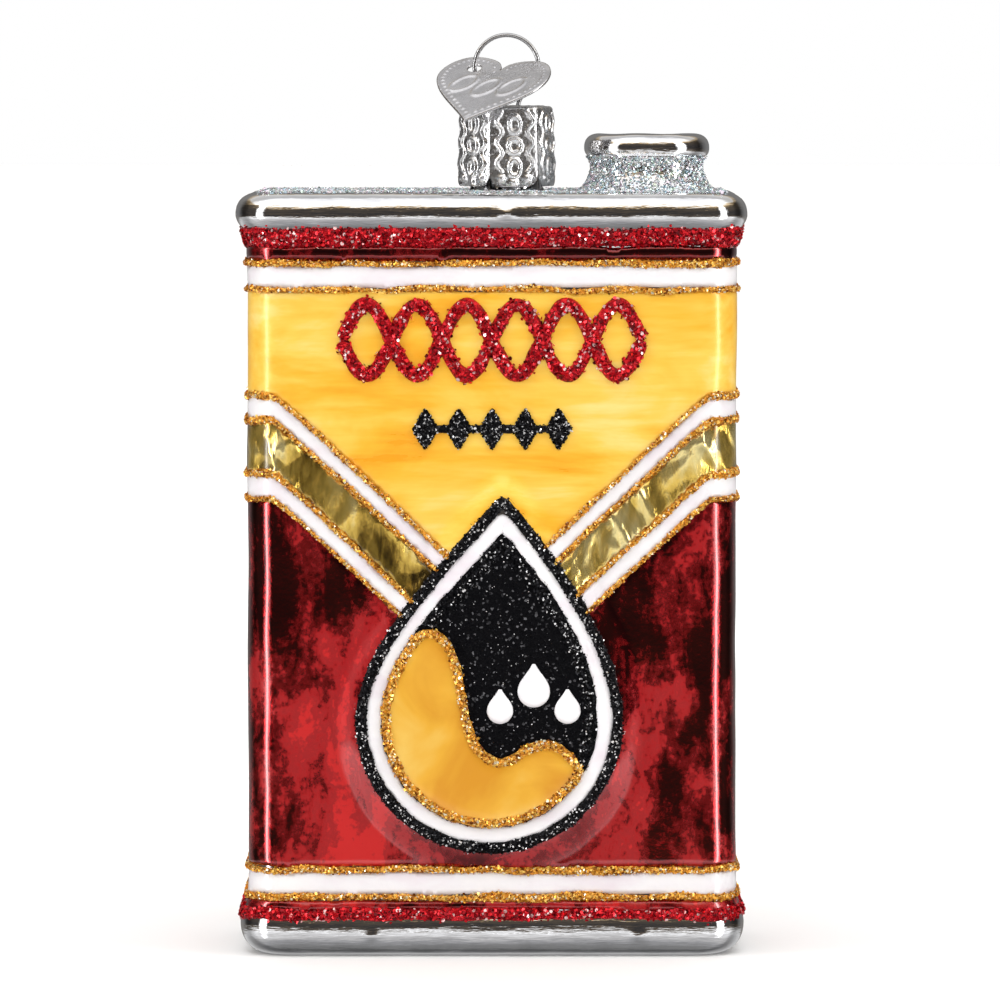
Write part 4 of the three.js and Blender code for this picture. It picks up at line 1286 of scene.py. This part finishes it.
def petal(build, flat):
    """One flat of the cap, from its tongue-shaped foot up and over the rounded top edge."""
    z = np.linspace(CAP_LOW[2], CAP_HIGH[2] - CAP_EDGE, 100)
    bend = np.linspace(0, math.pi / 2, 9)[1:]
    z_rows = np.concatenate([z, CAP_HIGH[2] - CAP_EDGE + CAP_EDGE * np.sin(bend)])
    inset = np.concatenate([0 * z, CAP_EDGE * (1 - np.cos(bend))])
    radius = cap_radius(z_rows) - inset
    slit = 0.11 * smooth(SLIT_TOP, SLIT_TOP - 0.8, z_rows)
    foot = np.clip((z_rows - CAP_LOW[2]) / 1.5, 0, 1)
    half = radius / 2 - slit - 1.3 * (1 - np.sqrt(1 - (1 - foot) ** 2))
    u = half[:, None] * np.linspace(-1, 1, 56)[None, :]
    rows = z_rows[:, None] + 0 * u
    stamp = petal_stamp(u, rows) * smooth(CAP_HIGH[2], CAP_HIGH[2] - 0.8, rows)
    stamp += 0.012 * BEAD_LUMPS(u * 2.2, float(flat), rows * 2.2)
    crease = 0.22 * np.clip(np.abs(u) / (radius[:, None] / 2), 0, 1) ** 8
    bulge = 0.12 * (1 - (u / 2.8) ** 2) * smooth(0, 2, rows - CAP_LOW[2])
    angle = CAP_TURN + (flat + 0.5) * math.pi / 3

    def placed(u, rows, out):
        return np.stack([CAP_X + out * math.cos(angle) - u * math.sin(angle),
                         out * math.sin(angle) + u * math.cos(angle), rows], -1)

    out = (radius * math.cos(math.pi / 6))[:, None]
    outer = placed(u, rows, out + stamp + bulge - crease)
    ends = [0, -1]
    inner = placed(u[ends], rows[ends] - [[0], [CAP_WALL]], out[ends] - [[CAP_WALL], [0]] + 0 * u[ends])
    points, faces = sheet(outer, inner, False)
    build.add(points, faces)


def hexagon(radius):
    """A six-sided outline with softened corners."""
    angles = CAP_TURN + np.arange(6) * math.pi / 3
    corners = np.stack([radius * np.cos(angles), radius * np.sin(angles)], 1)
    return soften(resample(corners, radius / 14, True), 3)


def cap_top(build, rng):
    """The plate that closes the cap, with the wire's two holes."""
    edge = hexagon(CAP_TOP_RADIUS - CAP_EDGE) + (CAP_X, 0)
    circle = np.arange(20) * 2 * math.pi / 20
    holes = [np.stack([CAP_X + sign * 1.3 + 0.5 * np.cos(circle), 0.5 * np.sin(circle)], 1)
             for sign in (-1, 1)]
    flat, faces = fill([edge, *holes], 0.35, rng)
    gap = distance_to(flat, edge)
    middle = np.hypot(flat[:, 0] - CAP_X, flat[:, 1])
    rise = 0.1 * ridge(gap - 0.7, 0.18) + 0.05 * ridge(middle - 2.6, 0.2)
    top = np.column_stack([flat, CAP_HIGH[2] + rise * smooth(0, 0.3, gap)])
    bottom = np.column_stack([flat, np.full(len(flat), CAP_HIGH[2] - CAP_WALL)])
    shell(build, faces, top, bottom)


def cap_crown():
    build = Build()
    rng = np.random.default_rng(600)
    for corner in range(6):
        petal(build, corner)
    cap_top(build, rng)
    build.make("cap_crown", "stamped", [CAP_METAL], "cap")


cap_crown()


# ---- the hanger wire -------------------------------------------------------------------

def catmull(points, steps):
    """A smooth line through points."""
    padded = np.vstack([2 * points[0] - points[1], points, 2 * points[-1] - points[-2]])
    pieces = []
    t = np.linspace(0, 1, steps, endpoint=False)[:, None]
    for a, b, c, d in zip(padded, padded[1:], padded[2:], padded[3:]):
        pieces.append(0.5 * (2 * b + (c - a) * t + (2 * a - 5 * b + 4 * c - d) * t ** 2
                             + (3 * b - a - 3 * c + d) * t ** 3))
    return np.vstack([*pieces, points[-1:]])


def wire_line():
    leg_end = WIRE_LOW[2]
    left = np.array([
        (-2.75, 0, leg_end), (-2.5, 0, leg_end + 2.4), (-1.65, 0, 88.0), (-1.3, 0, 89.6),
        (-1.3, 0, 92.7), (-1.3, 0, CAP_HIGH[2]),
    ])
    angles = np.radians(np.linspace(238, -58, 15))
    loop = np.stack([LOOP_RADIUS * np.cos(angles), 0 * angles,
                     LOOP_Z + LOOP_RADIUS * np.sin(angles)], 1)
    right = (left * (-1, 1, 1))[::-1]
    return np.vstack([left, loop, right]) + (CAP_X, 0, 0)


def hanger():
    line = catmull(wire_line(), 8)
    along = np.gradient(line, axis=0)
    along /= np.linalg.norm(along, axis=1)[:, None]
    side = np.array([0.0, 1.0, 0.0])
    other = np.cross(along, side)
    angles = np.arange(16) * 2 * math.pi / 16
    ring = (line[:, None, :]
            + WIRE_RADIUS * (np.cos(angles)[None, :, None] * other[:, None, :]
                             + np.sin(angles)[None, :, None] * side))
    build = Build()
    last = (len(line) - 1) * 16
    build.add(ring, [grid_faces(len(line), 16, True),
                     fan(np.arange(16), True), fan(np.arange(16) + last)])
    build.make("hanger_wire", "bent", [WIRE_METAL], "hanger")


hanger()


# ---- the heart tag ---------------------------------------------------------------------

TAG_WIDTH, TAG_HEIGHT, TAG_CLEFT = 13.6, 12.8, 2.6
TAG_HOLE = np.array([-3.2, 10.2])
TAG_THICKNESS = 0.3


def tag_joint():
    return next(joint for joint in frame["joints"] if joint["name"] == "tag_swing")


def heart_outline():
    half, cleft = TAG_WIDTH / 2, TAG_HEIGHT - TAG_CLEFT
    right = chain(
        bezier([(0, cleft), (0.02 * half, cleft + 0.7 * TAG_CLEFT),
                (0.23 * half, TAG_HEIGHT), (0.52 * half, TAG_HEIGHT)], 30),
        bezier([(0.52 * half, TAG_HEIGHT), (0.78 * half, TAG_HEIGHT),
                (half, 0.83 * TAG_HEIGHT), (half, 0.66 * TAG_HEIGHT)], 30),
        bezier([(half, 0.66 * TAG_HEIGHT), (half, 0.4 * TAG_HEIGHT),
                (0.35 * half, 0.22 * TAG_HEIGHT), (0, 0)], 40),
    )
    left = right[::-1] * (-1, 1)
    return np.concatenate([right[:-1], left[:-1]])[::-1]


def tag_stamp(flat, outline):
    """The tag's stamped relief: a beaded border and a chain of three links."""
    border = resample(outline, 0.78, True)
    inner = border + 0.75 * inward_normals(border)
    height = np.zeros(len(flat))
    for dot in inner:
        height = np.maximum(height, 0.13 * ridge(np.linalg.norm(flat - dot, axis=1), 0.17))
    for x, z in ((-3.0, 6.9), (0.0, 6.5), (3.0, 6.9)):
        local = flat - (x, z)
        slant = local[:, 0] - 0.35 * local[:, 1]
        ring = np.hypot(slant / 1.15, local[:, 1] / 1.7)
        height = np.maximum(height, 0.15 * ridge((ring - 1) * 1.2, 0.2))
    return height


def heart_tag():
    rng = np.random.default_rng(700)
    outline = resample(heart_outline(), 0.2, True)
    circle = np.arange(28) * 2 * math.pi / 28
    hole = np.stack([TAG_HOLE[0] + 0.85 * np.cos(circle), TAG_HOLE[1] + 0.85 * np.sin(circle)], 1)
    flat, faces = fill([outline, hole], 0.15, rng)
    bow = 0.012 * (flat[:, 0] ** 2) * 0.6 - 0.006 * (flat[:, 1] - 6) ** 2
    edge = distance_to(flat, outline)
    rise = tag_stamp(flat, outline) + bow
    round_off = 0.08 * (1 - np.clip(edge / 0.15, 0, 1)) ** 2
    thin = TAG_THICKNESS / 2
    local_top = np.column_stack([flat - TAG_HOLE, thin + rise - round_off])
    local_low = np.column_stack([flat - TAG_HOLE, -thin + rise])
    lay = Matrix.Rotation(math.pi / 2, 3, "X")
    turn = (Matrix.Rotation(math.radians(-20), 3, "Z") @ Matrix.Rotation(math.radians(-57), 3, "X")
            @ Matrix.Rotation(math.radians(7), 3, "Y") @ lay)
    turn = np.array(turn)
    place = np.array(tag_joint()["pos_m"]) / MM
    build = Build()
    shell(build, faces, local_top @ turn.T + place, local_low @ turn.T + place)
    build.make("heart_tag", "stamped", [TAG_METAL], "tag")


heart_tag()


# ---- stage, lights and camera ----------------------------------------------------------

def floor():
    mesh = bpy.data.meshes.new("floor")
    count, radius = 96, 6.0
    ring = [(radius * math.cos(a), radius * math.sin(a), 0)
            for a in np.arange(count) * 2 * math.pi / count]
    mesh.from_pydata(ring, [], [range(count)])
    look = Look("floor", Roughness=0.6, Specular_IOR_Level=0.2)
    look.set(Base_Color=(0.86, 0.86, 0.86, 1))
    mesh.materials.append(look.material)
    made = bpy.data.objects.new("floor", mesh)
    made.visible_glossy = False
    bpy.context.scene.collection.objects.link(made)


def around(azimuth, elevation, distance):
    """A place round the object; azimuth 0 is in front of it, and positive is to the right."""
    a, e = math.radians(azimuth), math.radians(elevation)
    return (distance * math.cos(e) * math.sin(a), -distance * math.cos(e) * math.cos(a),
            distance * math.sin(e) + 0.05)


SKY = [                      # elevation in degrees, then the colour of the studio there
    (-90, (0.20, 0.20, 0.20)),
    (-55, (0.34, 0.34, 0.35)),
    (-36, (0.60, 0.59, 0.59)),
    (-24, (0.84, 0.84, 0.85)),
    (-17, (1.15, 1.15, 1.16)),
    (-12, (0.14, 0.11, 0.08)),
    (0, (0.035, 0.034, 0.036)),
    (29, (0.10, 0.08, 0.06)),
    (35, (0.85, 0.62, 0.34)),
    (39, (1.4, 1.36, 1.30)),
    (62, (1.3, 1.3, 1.32)),
    (90, (1.1, 1.1, 1.12)),
]


def sky():
    """A studio all round: bright above, dark at eye level, pale below, soft lights at the sides."""
    world = bpy.data.worlds.new("studio")
    bpy.context.scene.world = world
    world.use_nodes = True
    nodes = Nodes(world.node_tree)
    place = nodes.node("ShaderNodeTexCoord").outputs["Generated"]
    x, y, z = nodes.node("ShaderNodeSeparateXYZ", Vector=place).outputs
    stops = [((math.sin(math.radians(degrees)) + 1) / 2, color) for degrees, color in SKY]
    studio = nodes.ramp(nodes.math("MULTIPLY_ADD", z, 0.5, 0.5), stops)
    behind = nodes.step(y, 0.0, 0.35, 1.0, 0.4)
    dimmed = nodes.node("ShaderNodeVectorMath", {"operation": "SCALE"}, Scale=behind)
    nodes.feed(dimmed.inputs[0], studio)
    azimuth = nodes.math("ARCTAN2", nodes.math("ABSOLUTE", x), nodes.math("MULTIPLY", y, -1.0))
    side = nodes.math("MULTIPLY", nodes.step(azimuth, math.radians(54), math.radians(62), 0, 2.4),
                      nodes.step(azimuth, math.radians(78), math.radians(70)))
    core = nodes.math("MULTIPLY", nodes.step(azimuth, math.radians(62), math.radians(65), 0, 8),
                      nodes.step(azimuth, math.radians(71), math.radians(68)))
    tall = nodes.math("MULTIPLY", nodes.step(z, -0.55, -0.35), nodes.step(z, 0.7, 0.5))
    lobe = nodes.math("MULTIPLY", nodes.math("ADD", side, core), tall)
    glow = nodes.math("ADD", lobe, nodes.step(y, 0.4, 0.85, 0.0, 0.17))
    total = nodes.node("ShaderNodeVectorMath")
    nodes.feed(total.inputs[0], dimmed.outputs["Vector"])
    nodes.feed(total.inputs[1], glow)
    seen = nodes.node("ShaderNodeLightPath").outputs["Is Camera Ray"]
    color = nodes.blend(seen, total.outputs["Vector"], (1, 1, 1, 1))
    nodes.feed(nodes.tree.nodes["Background"].inputs["Color"], color)


def aim(thing, place, target):
    """Puts a lamp or a camera at a place and turns it towards its target."""
    thing.location = place
    thing.rotation_euler = (Vector(target) - thing.location).to_track_quat("-Z", "Y").to_euler()
    bpy.context.scene.collection.objects.link(thing)


def fill_light(name, place, width, height, power):
    """A soft light that brightens paint but isn't mirrored in the silver."""
    data = bpy.data.lights.new(name, "AREA")
    data.shape = "RECTANGLE"
    data.size, data.size_y = width, height
    data.energy = power
    lamp = bpy.data.objects.new(name, data)
    lamp.visible_glossy = False
    aim(lamp, place, (0, 0, 0.05))


def lights():
    fill_light("front_fill", around(0, 30, 1.0), 1.2, 0.5, 2.2)
    fill_light("back_fill", around(180, 30, 1.0), 1.2, 0.5, 3.0)
    data = bpy.data.lights.new("overhead", "SUN")
    data.energy = 1.4
    data.angle = math.radians(70)
    lamp = bpy.data.objects.new("overhead", data)
    lamp.visible_glossy = False
    bpy.context.scene.collection.objects.link(lamp)


def camera():
    """The main view: straight on, from a little above, through a long lens."""
    distance, height, look_at = 0.8, 0.101, (0.0009, 0, 0.0508)
    data = bpy.data.cameras.new("camera")
    data.sensor_width = 36.0
    data.lens = 251.9
    data.clip_start, data.clip_end = 0.05, 30.0
    made = bpy.data.objects.new("camera", data)
    aim(made, (look_at[0], -distance, height), look_at)
    bpy.context.scene.camera = made


floor()
sky()
lights()
camera()
bpy.context.scene.view_settings.view_transform = "Standard"
